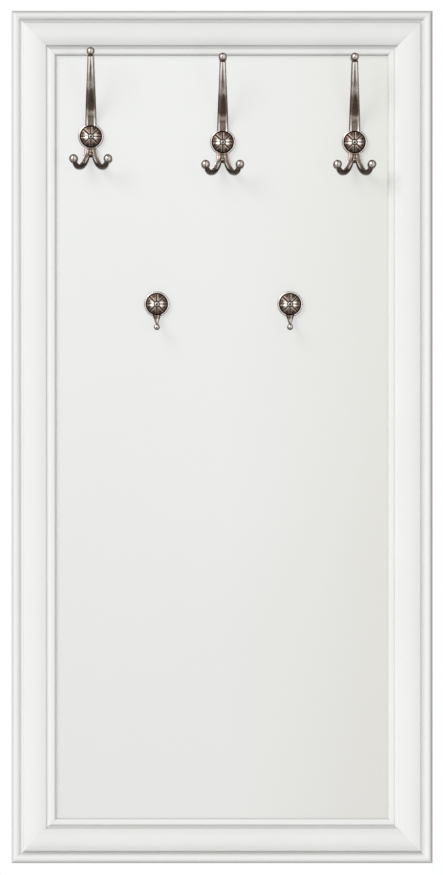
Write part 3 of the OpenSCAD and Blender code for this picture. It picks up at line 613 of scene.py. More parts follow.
def moulding_outline(look, width, thickness):
    """Outline of the moulding, from the outer corner of its back to the inner one: (u, v) points
    with u inwards from the outer side and v out from the back."""
    face_edge = thickness - look.camber
    half_band = look.band_width / 2
    band_centre = thickness - look.band_drop - look.band_radius
    groove = face_edge - look.groove_depth
    face_start = look.band_width + look.groove_width
    bead_start = width - look.bead_width
    face_end = bead_start - look.hollow_width
    half_face = (face_end - face_start) / 2
    face_radius = (half_face ** 2 + look.camber ** 2) / (2 * look.camber)
    hollow = face_edge - look.hollow_depth
    bead = look.rebate_depth + look.lip
    rebate = width - look.rebate_width
    arc_steps, bead_steps, share_for_arris = 25, 13, 0.45

    def arc(middle, centre, radius, half):
        spread = math.asin(half / radius)
        return [
            (middle + radius * math.sin(a), centre + radius * math.cos(a))
            for a in np.linspace(-spread, spread, arc_steps)
        ]

    below_bead, side = bead - look.bead_round, width - look.fillet - look.bead_round
    # Each stretch, and whether the arris rounds all its points, its two ends or none
    stretches = (
        ([(0.0, 0.0), (0.0, band_centre)], "all"),
        (arc(half_band, band_centre, look.band_radius, half_band), "ends"),
        ([(look.band_width, groove), (face_start - look.flank, groove)], "all"),
        (arc(face_start + half_face, thickness - face_radius, face_radius, half_face), "ends"),
        ([(face_end + look.flank, hollow), (bead_start - look.flank, hollow),
          (bead_start, bead)], "all"),
        ([(side + look.bead_round * math.sin(a), below_bead + look.bead_round * math.cos(a))
          for a in np.linspace(0, math.pi / 2, bead_steps)], "none"),
        ([(width, below_bead), (width, look.rebate_depth), (rebate, look.rebate_depth),
          (rebate, 0.0)], "all"),
    )
    points, rounded = [], []
    for stretch, which in stretches:
        last = len(stretch) - 1
        points += [np.array(point) for point in stretch]
        rounded += [which == "all" or which == "ends" and i in (0, last) for i in range(last + 1)]

    outline = []
    for i, point in enumerate(points):
        before, after = points[i - 1], points[(i + 1) % len(points)]
        shorter = min(np.linalg.norm(point - before), np.linalg.norm(after - point))
        radius = min(look.arris, share_for_arris * shorter)
        outline += corner_arc(before, point, after, radius) if rounded[i] else [point]
    return np.array(outline)


def painted_shade_of(outline, look, reach, painted_shade, edge_shade, full=3.6 * MM):
    """How much painted shade each point of the outline takes, from 0 to 1: in the grooves, by how
    deep it lies below what is in reach, and along the foil's outer edge as a greyed strip."""
    # Painted shade in the grooves: the deeper a point lies below its neighbours, the darker it is
    groove_shades = []
    for u, v in outline:
        span = reach if u > look.band_width else min(reach, look.shade_on_stiles)
        near = outline[np.abs(outline[:, 0] - u) < span, 1]
        groove_shades.append(painted_shade * min(1.0, (near.max() - v) / full))
    # Painted shade along the outer edge of the band, as dark as the member's setting
    on_band = outline[:, 1] > outline[:, 1].max() - look.band_drop - look.band_radius
    edge = edge_shade * smooth_step(look.shaded_edge_width, 0.0, outline[:, 0]) * on_band
    return np.maximum(groove_shades, edge)


def build_member(name, look, outline, shelter, finishes, corner, inward, along, span):
    """One mitred member, from the middle of its outer edge on the back. inward and along are
    directions in the frame, and finishes are the foil and the bare core."""
    middle = outline.mean(0)
    towards_middle = (middle - outline) / np.linalg.norm(middle - outline, axis=1)[:, None]
    dipped = outline + towards_middle * look.mitre_dip
    # Sections at each end: how they are shaped, and how far from the mitre they stand
    ends = [(dipped, 0.0), (outline, 0.6 * MM), (outline, 10 * MM)]
    stations = []
    for end in (-1, 1):
        for section, back in ends if end < 0 else reversed(ends):
            reach = end * (span / 2 - outline[:, 0] - back)
            stations.append(np.array(corner) + np.outer(section[:, 0], inward)
                            - np.outer(section[:, 1], (0, 1, 0)) + np.outer(reach, along))
    piece = solid(name, *lofted(stations), finishes)
    set_share(piece.data, "shelter", np.tile(shelter, len(stations)))
    inner, hair = outline[:, 0].max(), 0.001 * MM
    for face in piece.data.polygons:
        spots = [v % len(outline) for v in face.vertices]
        if len(spots) == 4:
            u, v = outline[spots].T
            on_back = v.max() < look.arris + hair
            in_rebate = (u.min() > inner - look.rebate_width - hair and u.max() < inner - look.arris
                         and v.max() <= look.rebate_depth + hair)
            if on_back or in_rebate:
                face.material_index = 1
    return piece


def cut_hanger_pocket(stile, side):
    """The pocket behind a keyhole plate, where the head of the wall screw goes."""
    low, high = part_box(f"hanger_plate_{side}")
    radius, slot, depth = 8 * MM, 12 * MM, 10 * MM
    half = np.linspace(0, math.pi, 25)
    outline = [(radius * math.cos(a), slot + radius * math.sin(a)) for a in half]
    outline += [(-radius * math.cos(a), -radius * math.sin(a)) for a in half]
    x = (low.x + high.x) / 2
    rings = [[(x + u, y, v) for u, v in outline] for y in (BACK_Y - depth, BACK_Y + depth)]
    combined(stile, solid("pocket", *lofted(rings)), "DIFFERENCE")


class HALLMIRROR_OT_frame(bpy.types.Operator):
    """Builds the four mitred members of the frame"""

    bl_idname = "hall_mirror.frame"
    bl_label = "Build frame"

    def execute(self, context):
        look = context.scene.hall_mirror.moulding
        low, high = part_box("frame_left_stile")
        left, right = low.x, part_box("frame_right_stile")[1].x
        bottom, top = low.z, high.z
        middle_x, middle_z = (left + right) / 2, (bottom + top) / 2
        outline = moulding_outline(look, high.x - low.x, high.y - low.y)
        core = fibre_finish("bare_core", look.core)
        # Rails and stiles get a lit and a shaded copy of the foil: the rails' copy is painted
        # darker
        foils = {"rail": foil_finish(look, "rail_foil", look.rail_shade_tone),
                 "stile": foil_finish(look, "stile_foil", 1.0)}
        # Reach and strength of the painted shade in the grooves of rails and stiles
        painted_shade = {"rail": (look.shade_on_rails, look.rail_shade),
                "stile": (look.shade_on_stiles, look.stile_shade)}
        # Where each member's outer edge has its middle, which way is inwards and which along
        members = (
            ("left", "stile", (left, BACK_Y, middle_z), (1, 0, 0), (0, 0, 1)),
            ("right", "stile", (right, BACK_Y, middle_z), (-1, 0, 0), (0, 0, 1)),
            ("top", "rail", (middle_x, BACK_Y, top), (0, 0, -1), (1, 0, 0)),
            ("bottom", "rail", (middle_x, BACK_Y, bottom), (0, 0, 1), (1, 0, 0)),
        )
        for place, kind, corner, inward, along in members:
            node = f"frame_{place}_{kind}"
            # Each member takes its own strength of painted shade along its outer edge
            shelter = painted_shade_of(outline, look, *painted_shade[kind], getattr(look, f"edge_shade_{place}"))
            span = top - bottom if kind == "stile" else right - left
            piece = build_member(f"{node}_moulding", look, outline, shelter, [foils[kind], core],
                                 corner, inward, along, span)
            if kind == "stile":
                cut_hanger_pocket(piece, place)
            placed(piece, "white_foil", node)
        return {"FINISHED"}


# ---------------------------------------------------------------- glass

class HALLMIRROR_OT_glass(bpy.types.Operator):
    """Builds the silvered pane with its ground edge"""

    bl_idname = "hall_mirror.glass"
    bl_label = "Build glass"

    def execute(self, context):
        look = context.scene.hall_mirror.glass
        low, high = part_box("mirror_glass")
        half = Vector((high - low) / 2)
        centre = (low + high) / 2

        def ring(inset, y):
            x, z = half.x - inset, half.z - inset
            corners = ((-1, -1), (1, -1), (1, 1), (-1, 1))
            return [(centre.x + i * x, y, centre.z + k * z) for i, k in corners]

        rings = [ring(look.arris, low.y), ring(0.0, low.y + look.arris),
                 ring(0.0, high.y - look.arris), ring(look.arris, high.y)]
        edge = grained_finish("glass_edge", look.edge, 1500.0, (0.22, 0.42), (0.00004, 0.4),
                              light=1.2, Transmission_Weight=0.35, IOR=1.52)
        paint = grained_finish("mirror_back_paint", look.paint, 60.0, (0.48, 0.62), (0.0001, 0.3),
                               streak=0.05)
        finishes = [silvered_finish(look), edge, paint]
        pane = solid("mirror_pane", *lofted(rings), finishes, crease=20.0)
        radius, reach = 4 * MM, 10 * MM
        pitch = context.scene.hall_mirror.hook.screw_pitch
        for x, z in (hook_place(kind, name) for kind, names in HOOKS.items() for name in names):
            for side in (-1, 1):
                points, faces = lofted(turned([(radius, -reach), (radius, reach)], 32))
                points = [(x + p[0], low.y + p[2], z + side * pitch / 2 + p[1]) for p in points]
                combined(pane, solid("drill", points, faces), "DIFFERENCE")
        for face in pane.data.polygons:
            on_edge = abs(face.normal.y) <= 0.9
            face.material_index = 1 if on_edge else 0 if face.normal.y < 0 else 2
        placed(pane, "silvered_glass", "mirror_glass")
        return {"FINISHED"}


# ---------------------------------------------------------------- hooks

def hook_place(kind, name):
    """Where a hook stands on the glass, from its rosette: (x, z)."""
    low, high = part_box(f"{kind}_rosette_{name}")
    return (low.x + high.x) / 2, (low.z + high.z) / 2


def onto_glass(points, x, z):
    """Hook points, X right, Y up and Z out, as points of the frame."""
    points = np.asarray(points)
    return np.stack([x + points[:, 0], FRONT_Y - points[:, 2], z + points[:, 1]], 1)


class Bar:
    """A bar along a cubic curve that ends in a ball, with its section square to the curve.
    t runs from 0 at its root to 1 in the ball, and x across it."""

    steps, sides = 84, 40
    # Powers: how far the section is squared off, and how late the bar narrows
    squared, taper = 0.8, 1.0
    # How bright the bar is rubbed behind
    back_level = 0.12
    # Radius of the neck groove beside the neck's width, and where it starts before the ball
    groove_share, groove_start = 0.36, 1.1 * MM

    def __init__(self, look, curve, across, width, neck, ball):
        self.look, self.curve, self.across = look, np.array(curve, float), np.array(across, float)
        self.width, self.neck, self.ball = width, neck, ball

    def point(self, t):
        c = self.curve
        return ((1 - t) ** 3 * c[0] + 3 * (1 - t) ** 2 * t * c[1]
                + 3 * (1 - t) * t * t * c[2] + t ** 3 * c[3])

    def axes(self, t):
        """Across, outward and along at t."""
        first, second, third = np.diff(self.curve, axis=0)
        along = (1 - t) ** 2 * first + 2 * (1 - t) * t * second + t * t * third
        along /= np.linalg.norm(along)
        across = self.across - (self.across @ along) * along
        across /= np.linalg.norm(across)
        return across, np.cross(across, along), along

    def half_width(self, t):
        return (self.width + (self.neck - self.width) * t ** self.taper) / 2

    def relief(self, t, x):
        """Height of the carving above the plain section."""
        return np.zeros_like(x)

    def ring(self, t):
        cosine, sine = np.cos(full_turn(self.sides)), np.sin(full_turn(self.sides))
        x = self.half_width(t) * squared_off(cosine, self.squared)
        y = self.half_depth(t) * squared_off(sine, self.squared)
        y = y + np.clip(sine, 0, 1) ** 0.5 * self.relief(t, x)
        across, outward, _ = self.axes(t)
        return self.point(t) + (np.outer(x, across) + np.outer(y, outward))

    def rings(self, ball_steps=22):
        """Rings along the bar, then the small neck groove, then those of the ball."""
        centre = self.curve[3]
        neck_radius = self.neck * self.groove_share
        reach = math.sqrt(self.ball ** 2 - neck_radius ** 2)
        grid = np.linspace(0, 1, 2001)
        away = np.array([np.linalg.norm(self.point(t) - centre) for t in grid])
        last = grid[np.argmax(away < reach + self.groove_start)]
        made = [self.ring(t) for t in np.linspace(0, last, self.steps)]
        across, outward, along = self.axes(1.0)
        angles = full_turn(self.sides)
        circle = np.outer(np.cos(angles), across) + np.outer(np.sin(angles), outward)
        end = self.point(last)
        # One ring half-way down into the groove, and one at its bottom
        made.append(0.5 * (end + (centre - along * (reach + 0.4 * MM)))
                    + 0.5 * (made[-1] - end) * 0.9 + 0.5 * circle * neck_radius * 1.05)
        made.append(centre - along * (reach + 0.25 * MM) + circle * neck_radius * 0.93)
        start = math.asin(neck_radius / self.ball)
        for angle in np.linspace(start, math.pi - 0.03, ball_steps):
            radius, ahead = self.ball * math.sin(angle), -self.ball * math.cos(angle)
            made.append(centre + along * ahead + circle * radius)
        return made

    def nearest(self, points, samples=240):
        """For each point: t, and its offset across and outward."""
        grid = np.linspace(0, 1, samples)
        line = np.array([self.point(t) for t in grid])
        index = np.argmin(((points[:, None, :] - line[None]) ** 2).sum(2), 1)
        axes = [self.axes(t) for t in grid]
        across = np.array([a[0] for a in axes])[index]
        outward = np.array([a[1] for a in axes])[index]
        offset = points - line[index]
        return grid[index], (offset * across).sum(1), (offset * outward).sum(1)

    def owns(self, points):
        """Which points of a casting lie on this bar's side of the base."""
        return np.full(len(points), True)

    def with_back(self, level, out):
        """How bright the front is rubbed, gone over into the dull back."""
        front = smooth_step(-0.3 * MM, 0.8 * MM, out)
        return level * front + self.back_level * (1 - front)


class UpperArm(Bar):
    """The upper arm: a hollow between two ridges that draw together towards the ball."""

    steps, sides = 190, 64
    taper = 1.5
    # Heights of the curve's foot and of its handle, and how far its other handle is from the ball
    foot, foot_pull, tip_pull = 12 * MM, 52 * MM, np.array([0, 56, 9]) * MM
    # How far from the middle the ridges lie, in millimetres
    ridge_at_foot, ridge_at_tip = 5.4, 1.0
    ridge_height, hollow_depth = 0.45 * MM, 1.0 * MM
    lancet_width, lancet_top, lancet_taper, lancet_depth = 4.2 * MM, 68 * MM, 20 * MM, 0.45 * MM

    def __init__(self, look):
        top = np.array([0, look.arm_rise, look.arm_reach])
        curve = [(0, self.foot, look.bar), (0, self.foot_pull, look.bar), top - self.tip_pull, top]
        super().__init__(look, curve, (1, 0, 0), look.arm_width, look.arm_neck, look.arm_ball)

    def half_depth(self, t):
        return self.look.arm_thickness / 2

    def ridge(self, t):
        """How far from the middle the two ridges lie."""
        return (self.ridge_at_foot * MM
                + (self.ridge_at_tip - self.ridge_at_foot) * MM * t ** self.taper)

    def lancet(self, height, x):
        """The pointed hollow low on the arm, from 0 to 1."""
        left_over = np.clip((self.lancet_top - height) / self.lancet_taper, 0, 1)
        half = self.lancet_width * np.sqrt(left_over)
        inside = smooth_step(0.8 * MM, -0.5 * MM, np.abs(x) - half)
        return inside * smooth_step(34 * MM, 39 * MM, height) * (half > 0)

    def relief(self, t, x):
        ridge = self.ridge(t)
        raised = self.ridge_height * bump_at(ridge, 0.8 * MM, np.abs(x))
        raised = raised * smooth_step(0.0, 0.12, t)
        hollow = np.clip(1 - (np.abs(x) / ridge) ** 2, 0, 1)
        depth = self.hollow_depth * zone(0.03, 0.25, 0.85, 1.0, t)
        return raised - depth * hollow - self.lancet_depth * self.lancet(self.point(t)[1], x)

    def owns(self, points):
        return points[:, 1] > 0

    def rubbed(self, points):
        """Bright along the ridges, most at the tip and foot, and stained in the lancet, with
        painted shade along the sides.
        """
        t, x, out = self.nearest(points)
        height, ridge = points[:, 1], self.ridge(t)
        ridges = bump_at(ridge, 1.1 * MM, np.abs(x))
        middle = smooth_step(1.0, 0.55, np.abs(x) / ridge)
        stained = zone(36 * MM, 44 * MM, 62 * MM, 72 * MM, height)
        tip = smooth_step(80 * MM, 100 * MM, height)
        foot = smooth_step(30 * MM, 22 * MM, height)
        level = 0.49 - 0.08 * stained - 0.13 * foot - 0.2 * tip * middle
        level -= 0.22 * smooth_step(70 * MM, 84 * MM, height) * bump_at(0.0, 1.2 * MM, x)
        level += ridges * (0.18 + 0.7 * tip + 0.42 * foot - 0.2 * stained)
        level += 0.03 * bump_at(74 * MM, 8 * MM, height)
        level -= 0.27 * self.lancet(height, x - 0.7 * MM)
        # Painted shade: a dark line along the left side where the stain lies
        level -= 0.22 * stained * bump_at(1.2 * MM - self.half_width(t), 1.2 * MM, x)
        level -= 0.24 * bump_at(28.5 * MM, 2.0 * MM, height) * middle
        level -= 0.2 * foot * bump_at(ridge - 2.2 * MM, 0.7 * MM, np.abs(x))
        # Painted shade along both sides
        level -= 0.42 * smooth_step(0.78, 0.98, np.abs(x) / self.half_width(t))
        in_neck_groove = t > 0.955
        return np.where(in_neck_groove, 0.1, self.with_back(level, out))


class LowerProng(Bar):
    """A lower prong: two ridges along its edges that fade into a plain round end."""

    squared, taper = 0.75, 4.0
    back_level = 0.1
    # How far below the base's centre the prong is rooted
    root_drop = 14 * MM
    # Where the ridges and the valley lie, from -1 at the outer edge to 1 at the inner one
    outer_ridge, valley, inner_ridge = -0.48, -0.08, 0.3
    ridge_height, valley_depth, ridge_width = 0.35 * MM, 0.5 * MM, 0.2

    def __init__(self, look, side):
        ball = np.array([look.prong_spread, -look.prong_drop, look.prong_reach])
        root = np.array([look.prong_root, -self.root_drop, look.bar])
        lean = look.prong_tip_lean
        curve = [root, root - np.array([0, look.prong_root_pull, 0]),
                 ball - np.array([lean, look.prong_tip_pull, lean]), ball]
        reach = ball - root
        super().__init__(look, [p * np.array([side, 1, 1]) for p in curve],
                         (-reach[2], 0, side * reach[0]), look.prong_width, look.prong_neck,
                         look.prong_ball)
        self.side = side

    def half_depth(self, t):
        return 0.82 * self.half_width(t)

    def relief(self, t, x):
        fade = smooth_step(0.75, 0.45, t)
        place = x * self.side / self.half_width(t)
        ridges = bump_at(self.outer_ridge, self.ridge_width, place)
        ridges += bump_at(self.inner_ridge, self.ridge_width, place) * smooth_step(0.1, 0.25, t)
        valley = bump_at(self.valley, self.ridge_width, place)
        return fade * (self.ridge_height * ridges - self.valley_depth * valley)

    def owns(self, points):
        return (points[:, 1] < 0) & (points[:, 0] * self.side >= 0)

    def rubbed(self, points):
        """Bright on the outer ridge and in the thin line that runs down from the crotch, with
        painted shade on the low bend, along the sides and under the rim, and a painted shadow in
        the crotch.
        """
        t, x, out = self.nearest(points)
        half = self.half_width(t)
        height, from_middle, place = points[:, 1], np.abs(points[:, 0]), x * self.side / half
        outer = bump_at(self.outer_ridge, 0.15, place) * smooth_step(-35 * MM, -28 * MM, height)
        line = 0.9 * MM - 0.52 * (height + 24 * MM)
        chevron = bump_at(line, 0.95 * MM, from_middle)
        chevron *= zone(-23 * MM, -24.5 * MM, -37 * MM, -41 * MM, height)
        # Painted shadow in the crotch, inside the thin bright line
        crotch_shadow = smooth_step(-0.5 * MM, -1.2 * MM, from_middle - line)
        crotch_shadow *= zone(-24 * MM, -26 * MM, -31 * MM, -34 * MM, height)
        # Painted shade on the low bend
        bend = smooth_step(-36 * MM, -40 * MM, height) + smooth_step(0.5, 0.6, t)
        level = 0.38 + 0.55 * outer + 0.7 * chevron
        level -= 0.16 * np.clip(bend, 0, 1) * (1 - 0.5 * bump_at(0.1, 0.3, place))
        # Painted shade along both sides
        level -= 0.38 * smooth_step(0.62, 0.9, np.abs(x) / half)
        level = self.with_back(level, out)
        on_web = (from_middle < 4.6 * MM) & (height > -22.5 * MM)
        # Painted shade under the rim, where the prongs leave the base
        shade_under_rim = bump_at(-self.look.base_radius, 0.6 * MM, height) * (from_middle < 5.4 * MM)
        return np.where(on_web, 0.38, level) * (1 - 0.97 * crotch_shadow) * (1 - 0.9 * shade_under_rim)


class SmallProng(Bar):
    """The single prong of a small hook."""

    steps = 70
    taper = 1.3
    # Heights of the curve's root and of its handle, and how far its other handle is from the ball
    root, root_pull, tip_pull = -8 * MM, -20 * MM, np.array([0, 4, 17]) * MM

    def __init__(self, look):
        ball = np.array([0, -look.small_drop, look.small_reach])
        curve = [(0, self.root, look.bar), (0, self.root_pull, look.bar),
                 ball - self.tip_pull, ball]
        super().__init__(look, curve, (-1, 0, 0), look.small_width, look.small_neck,
                         look.small_ball)

    def half_width(self, t):
        left_over = np.maximum(0.0, 1 - t / self.look.small_flare) ** self.taper
        return (self.neck + (self.width - self.neck) * left_over) / 2

    def half_depth(self, t):
        return min(self.half_width(t), self.look.arm_thickness / 2)

    def rubbed(self, points):
        """A painted highlight left of the middle, painted shade along both sides, and dull where it
        leaves the base.
        """
        t, x, out = self.nearest(points)
        place = x / self.half_width(t)
        # Painted highlight left of the middle, and painted shade along both sides
        level = 0.45 + 0.5 * bump_at(-0.4, 0.28, place)
        level -= 0.35 * smooth_step(0.6, 0.98, np.abs(place))
        dull = 0.35 * smooth_step(-22.5 * MM, -19 * MM, points[:, 1])
        return self.with_back(level, out) - dull


def base_disc(look):
    """The round base, still without its recess."""
    r, chamfer, soft, middle = look.base_radius, look.rim_chamfer, 0.35 * MM, 0.2 * MM
    return turned([
        (middle, look.pad), (r - soft, look.pad), (r, look.pad + soft),
        (r, look.rim - chamfer - soft), (r - 0.12 * MM, look.rim - chamfer),
        (r - 0.45 * chamfer, look.rim - 0.35 * chamfer), (r - chamfer, look.rim - 0.05 * MM),
        (r - chamfer - soft, look.rim), (middle, look.rim),
    ], 128)


def recess_cutter(look):
    r, soft, middle = look.base_radius - look.rim_width, 0.35 * MM, 0.2 * MM
    above = look.rim + 8 * MM
    return turned([
        (middle, look.floor), (r, look.floor), (r, look.rim - 0.3 * MM),
        (r + soft, look.rim + 0.1 * MM), (r + soft, above), (middle, above),
    ], 128)


def screw_cutter(look, y):
    shank, head = 2.1 * MM, 3.9 * MM
    rings = turned([
        (shank, -1 * MM), (shank, look.floor - 2 * MM), (head, look.floor), (head, look.floor + MM),
    ], 40)
    return [ring + np.array([0, y, 0]) for ring in rings]


def spigot_cutter(look):
    radius = 3.1 * MM
    return turned([(radius, look.floor - 2 * MM), (radius, look.floor + MM)], 40)


def cast_hook(look, name, bars, webs):
    """Base, bars and webs in one casting, in the hook's own axes."""
    body = solid(name, *lofted(base_disc(look)))
    for rings in [bar.rings() for bar in bars] + webs:
        combined(body, solid("bar", *lofted(rings)), "UNION")
    screws = [screw_cutter(look, side * look.screw_pitch / 2) for side in (-1, 1)]
    for rings in [recess_cutter(look), *screws, spigot_cutter(look)]:
        combined(body, solid("cutter", *lofted(rings)), "DIFFERENCE")
    return without_specks(body)


def prong_web(look):
    """The web that joins the two prongs and runs out in their crotch."""
    prong = LowerProng(look, 1)
    prong.curve[:, 0] = 0
    prong.across = np.array([-1.0, 0, 0])
    end, depth = 0.2, 0.62 * look.prong_width / 2
    angles = full_turn(24)
    rings = []
    for t in np.linspace(0, end, 12):
        across, outward, _ = prong.axes(t)
        half = look.prong_root + (look.web_end / 2 - look.prong_root) * t / end
        rings.append(prong.point(t) + np.outer(half * squared_off(np.cos(angles), 0.7), across)
                     + np.outer(depth * squared_off(np.sin(angles), 0.5), outward))
    return rings


def worn_and_shaded_base(look, points, normals):
    """How bright the base is: the rim's crest worn bright, its side and chamfer dull as painted
    shade round the outline, its recess dark.
    """
    radius = np.hypot(points[:, 0], points[:, 1])
    crest = smooth_step(0.45, 0.95, normals[:, 2])
    outer = smooth_step(look.base_radius - 0.7 * MM, look.base_radius - MM, radius)
    # Painted shade: only the forward-facing crest is bright, the side and chamfer stay dark
    level = 0.16 + 0.7 * crest * outer
    inner = look.base_radius - look.rim_width
    in_recess = radius < inner + 0.22 * MM
    return np.where(in_recess, 0.0, level)


def ball_painted_light(normals):
    """Painted light on a ball: a painted highlight in front, split by a thin dark line down its
    middle, and painted shade round its outline.
    """
    facing = normals[:, 2]
    highlight_gap = bump_at(0.0, 0.14, normals[:, 0]) * smooth_step(0.3, 0.8, facing)
    return 0.06 + 0.62 * smooth_step(0.35, 0.95, facing) - 0.3 * highlight_gap


def rubbed_and_lit_hook(look, bars, points, normals):
    """How bright each point of a casting is, from wear and from painted highlights and shade: 0 is
    oxide and 1 silver.
    """
    level = worn_and_shaded_base(look, points, normals)
    radius = np.hypot(points[:, 0], points[:, 1])
    off_base = (radius > look.base_radius + CLOSE) | (points[:, 2] > look.rim + 0.15 * MM)
    for bar in reversed(bars):
        mine = off_base & bar.owns(points)
        near = points[mine]
        on_ball = np.linalg.norm(near - bar.curve[3], axis=1) < bar.ball + CLOSE
        level[mine] = np.where(on_ball, ball_painted_light(normals[mine]), bar.rubbed(near))
    return level


def points_and_normals(mesh):
    points = np.zeros(len(mesh.vertices) * 3)
    mesh.vertices.foreach_get("co", points)
    normals = np.zeros(len(mesh.vertices) * 3)
    mesh.vertex_normals.foreach_get("vector", normals)
    return points.reshape(-1, 3), normals.reshape(-1, 3)


def put_on_glass(master, piece_name, kind, name, finish):
    """A copy of a casting or rosette at its hook's place on the glass."""
    mesh = master.data.copy()
    points, _ = points_and_normals(mesh)
    mesh.vertices.foreach_set("co", onto_glass(points, *hook_place(kind, name)).ravel())
    mesh.update()
    return dressed(piece_name, mesh, [finish])


class HALLMIRROR_OT_hooks(bpy.types.Operator):
    """Casts the coat hooks and the small hooks, and wears their finish"""

    bl_idname = "hall_mirror.hooks"
    bl_label = "Build hooks"

    def execute(self, context):
        look = context.scene.hall_mirror.hook
        finish = antique_finish(look)
        coat_bars = [UpperArm(look), LowerProng(look, 1), LowerProng(look, -1)]
        castings = {"coat": (coat_bars, [prong_web(look)]), "small": ([SmallProng(look)], [])}
        for kind, (bars, webs) in castings.items():
            master = cast_hook(look, f"{kind}_master", bars, webs)
            rubbed = rubbed_and_lit_hook(look, bars, *points_and_normals(master.data))
            set_share(master.data, "rubbed", rubbed)
            for name in HOOKS[kind]:
                node = f"{kind}_hook_{name}"
                piece = put_on_glass(master, f"{node}_casting", kind, name, finish)
                placed(piece, "antique_silver", node)
            bpy.data.objects.remove(master)
        return {"FINISHED"}


def rosette_surface(look, hook, r, angle):
    """Height of the rosette's front and how bright it is, from wear and a painted highlight, at a
    radius and an angle.
    """
    dome_radius = (look.radius ** 2 + look.dome ** 2) / (2 * look.dome)
    crown = hook.floor + look.edge + look.dome
    sector = 2 * math.pi / look.rays
    from_groove = np.abs((angle + sector / 2) % sector - sector / 2)
    off = r * np.sin(from_groove)
    across_petal = np.sin(np.clip(from_groove / sector, 0, 0.5) * math.pi)
    outside_button = smooth_step(look.button + 0.5 * MM, look.button + 1.2 * MM, r)
    groove = bump_at(0, look.ray * 1.15, off) * outside_button
    moat = bump_at(look.button + 0.55 * MM, 0.5 * MM, r)
    edge_fall = smooth_step(look.radius - 0.9 * MM, look.radius, r)

    height = crown - dome_radius + np.sqrt(dome_radius ** 2 - r ** 2)
    height = height + 0.35 * MM * across_petal ** 0.7 * outside_button * (1 - edge_fall)
    height = height - 0.5 * MM * edge_fall - 0.6 * MM * groove - 0.45 * MM * moat
    cap = crown - look.button / 2 + np.sqrt(np.clip(look.button ** 2 - r ** 2, 0, None))
    cap = crown + (cap - crown) * 0.8 - 0.5 * MM * bump_at(0, look.dimple * 0.8, r)

    streaks = 0.5 + 0.5 * np.cos(angle * look.rays * 5)
    pits = bump_at(0.8 * look.radius, 1.7 * MM, r) * across_petal ** 3
    # Painted highlight beside the button at the left and right, stronger at the left, laid over the
    # grooves it crosses
    highlight_strength = 0.75 - 0.25 * np.cos(angle)
    patch = smooth_step(0.5, 0.97, np.cos(angle) ** 2)
    patch = patch * bump_at(0.38 * look.radius, 0.2 * look.radius, r)
    rubbed = 0.24 + 0.14 * smooth_step(0.85 * look.radius, 0.4 * look.radius, r) - 0.1 * streaks
    rubbed = rubbed + highlight_strength * patch
    rubbed = rubbed + 0.25 * bump_at(2.6 * look.ray, 0.6 * look.ray, off) - 0.2 * pits
    rubbed = rubbed * (1 - 0.97 * groove * (1 - 0.85 * patch)) * (1 - 0.95 * moat)
    rubbed = rubbed * (1 - smooth_step(look.radius - 1.5 * MM, look.radius - 0.9 * MM, r))
    button = 0.95 - 0.9 * smooth_step(1.45, 1.0, r / look.dimple)
    button = button - 0.6 * smooth_step(0.88, 1.0, r / look.button)
    inside = r < look.button
    return np.where(inside, cap, height), np.where(inside, button, rubbed)


def rosette_mesh(look, hook):
    """The rosette in the hook's own axes, closed behind with its spigot."""
    sides, steps, middle = 320, 46, 0.05 * MM
    angles = full_turn(sides)
    radii = [middle, *np.linspace(0.35 * MM, look.radius - 0.15 * MM, steps), look.radius]
    rings, levels = [], []
    for r in radii:
        height, rubbed = rosette_surface(look, hook, np.full(sides, r), angles)
        if r == look.radius:
            height = height - 0.25 * MM
        rings.append(np.stack([r * np.cos(angles), r * np.sin(angles), height], 1))
        levels.append(rubbed)
    spigot_end = hook.floor - look.spigot_length
    back = turned([(look.radius, hook.floor), (look.spigot, hook.floor),
                   (look.spigot, spigot_end), (middle, spigot_end)], sides)
    master = solid("rosette_master", *lofted(rings + back))
    levels += [np.full(sides, 0.05)] * len(back)
    set_share(master.data, "rubbed", np.concatenate(levels))
    return master


class HALLMIRROR_OT_rosettes(bpy.types.Operator):
    """Builds the sunburst rosettes that sit in the hooks' bases"""

    bl_idname = "hall_mirror.rosettes"
    bl_label = "Build rosettes"

    def execute(self, context):
        settings = context.scene.hall_mirror
        finish = bpy.data.materials.get("worn_antique_silver") or antique_finish(settings.hook)
        master = rosette_mesh(settings.rosette, settings.hook)
        for kind, names in HOOKS.items():
            for name in names:
                node = f"{kind}_rosette_{name}"
                piece = put_on_glass(master, f"{node}_disc", kind, name, finish)
                placed(piece, "antique_silver", node)
        bpy.data.objects.remove(master)
        return {"FINISHED"}


# ---------------------------------------------------------------- back

def paint_node(node, finish):
    """Gives a node of the construction its finish."""
    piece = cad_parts[node]
    piece.data.materials.clear()
    piece.data.materials.append(finish)


def eased_piece(node, finish, width):
    """A piece that stands for a node: its shape with the edges taken off."""
    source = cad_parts[node]
    slot = source.data.materials[0].name
    shape = bmesh.new()
    shape.from_mesh(source.data)
    bmesh.ops.transform(shape, matrix=source.matrix_world, verts=shape.verts)
    bmesh.ops.remove_doubles(shape, verts=shape.verts, dist=1e-6)
    bmesh.ops.dissolve_limit(
        shape, angle_limit=math.radians(1), verts=shape.verts, edges=shape.edges)
    sharp = [e for e in shape.edges if e.is_manifold and e.calc_face_angle(0.0) > math.radians(40)]
    bmesh.ops.bevel(
        shape, geom=sharp, offset=width, segments=2, profile=0.5, affect="EDGES",
        clamp_overlap=True)
    mesh = bpy.data.meshes.new(node + "_eased")
    shape.to_mesh(mesh)
    shape.free()
    piece = dressed(node + "_eased", mesh, [finish])
    for face in mesh.polygons:
        if face.area > BROAD_FACE:
            for corner in face.loop_indices:
                mesh.edges[mesh.loops[corner].edge_index].use_edge_sharp = True
    placed(piece, slot, node)


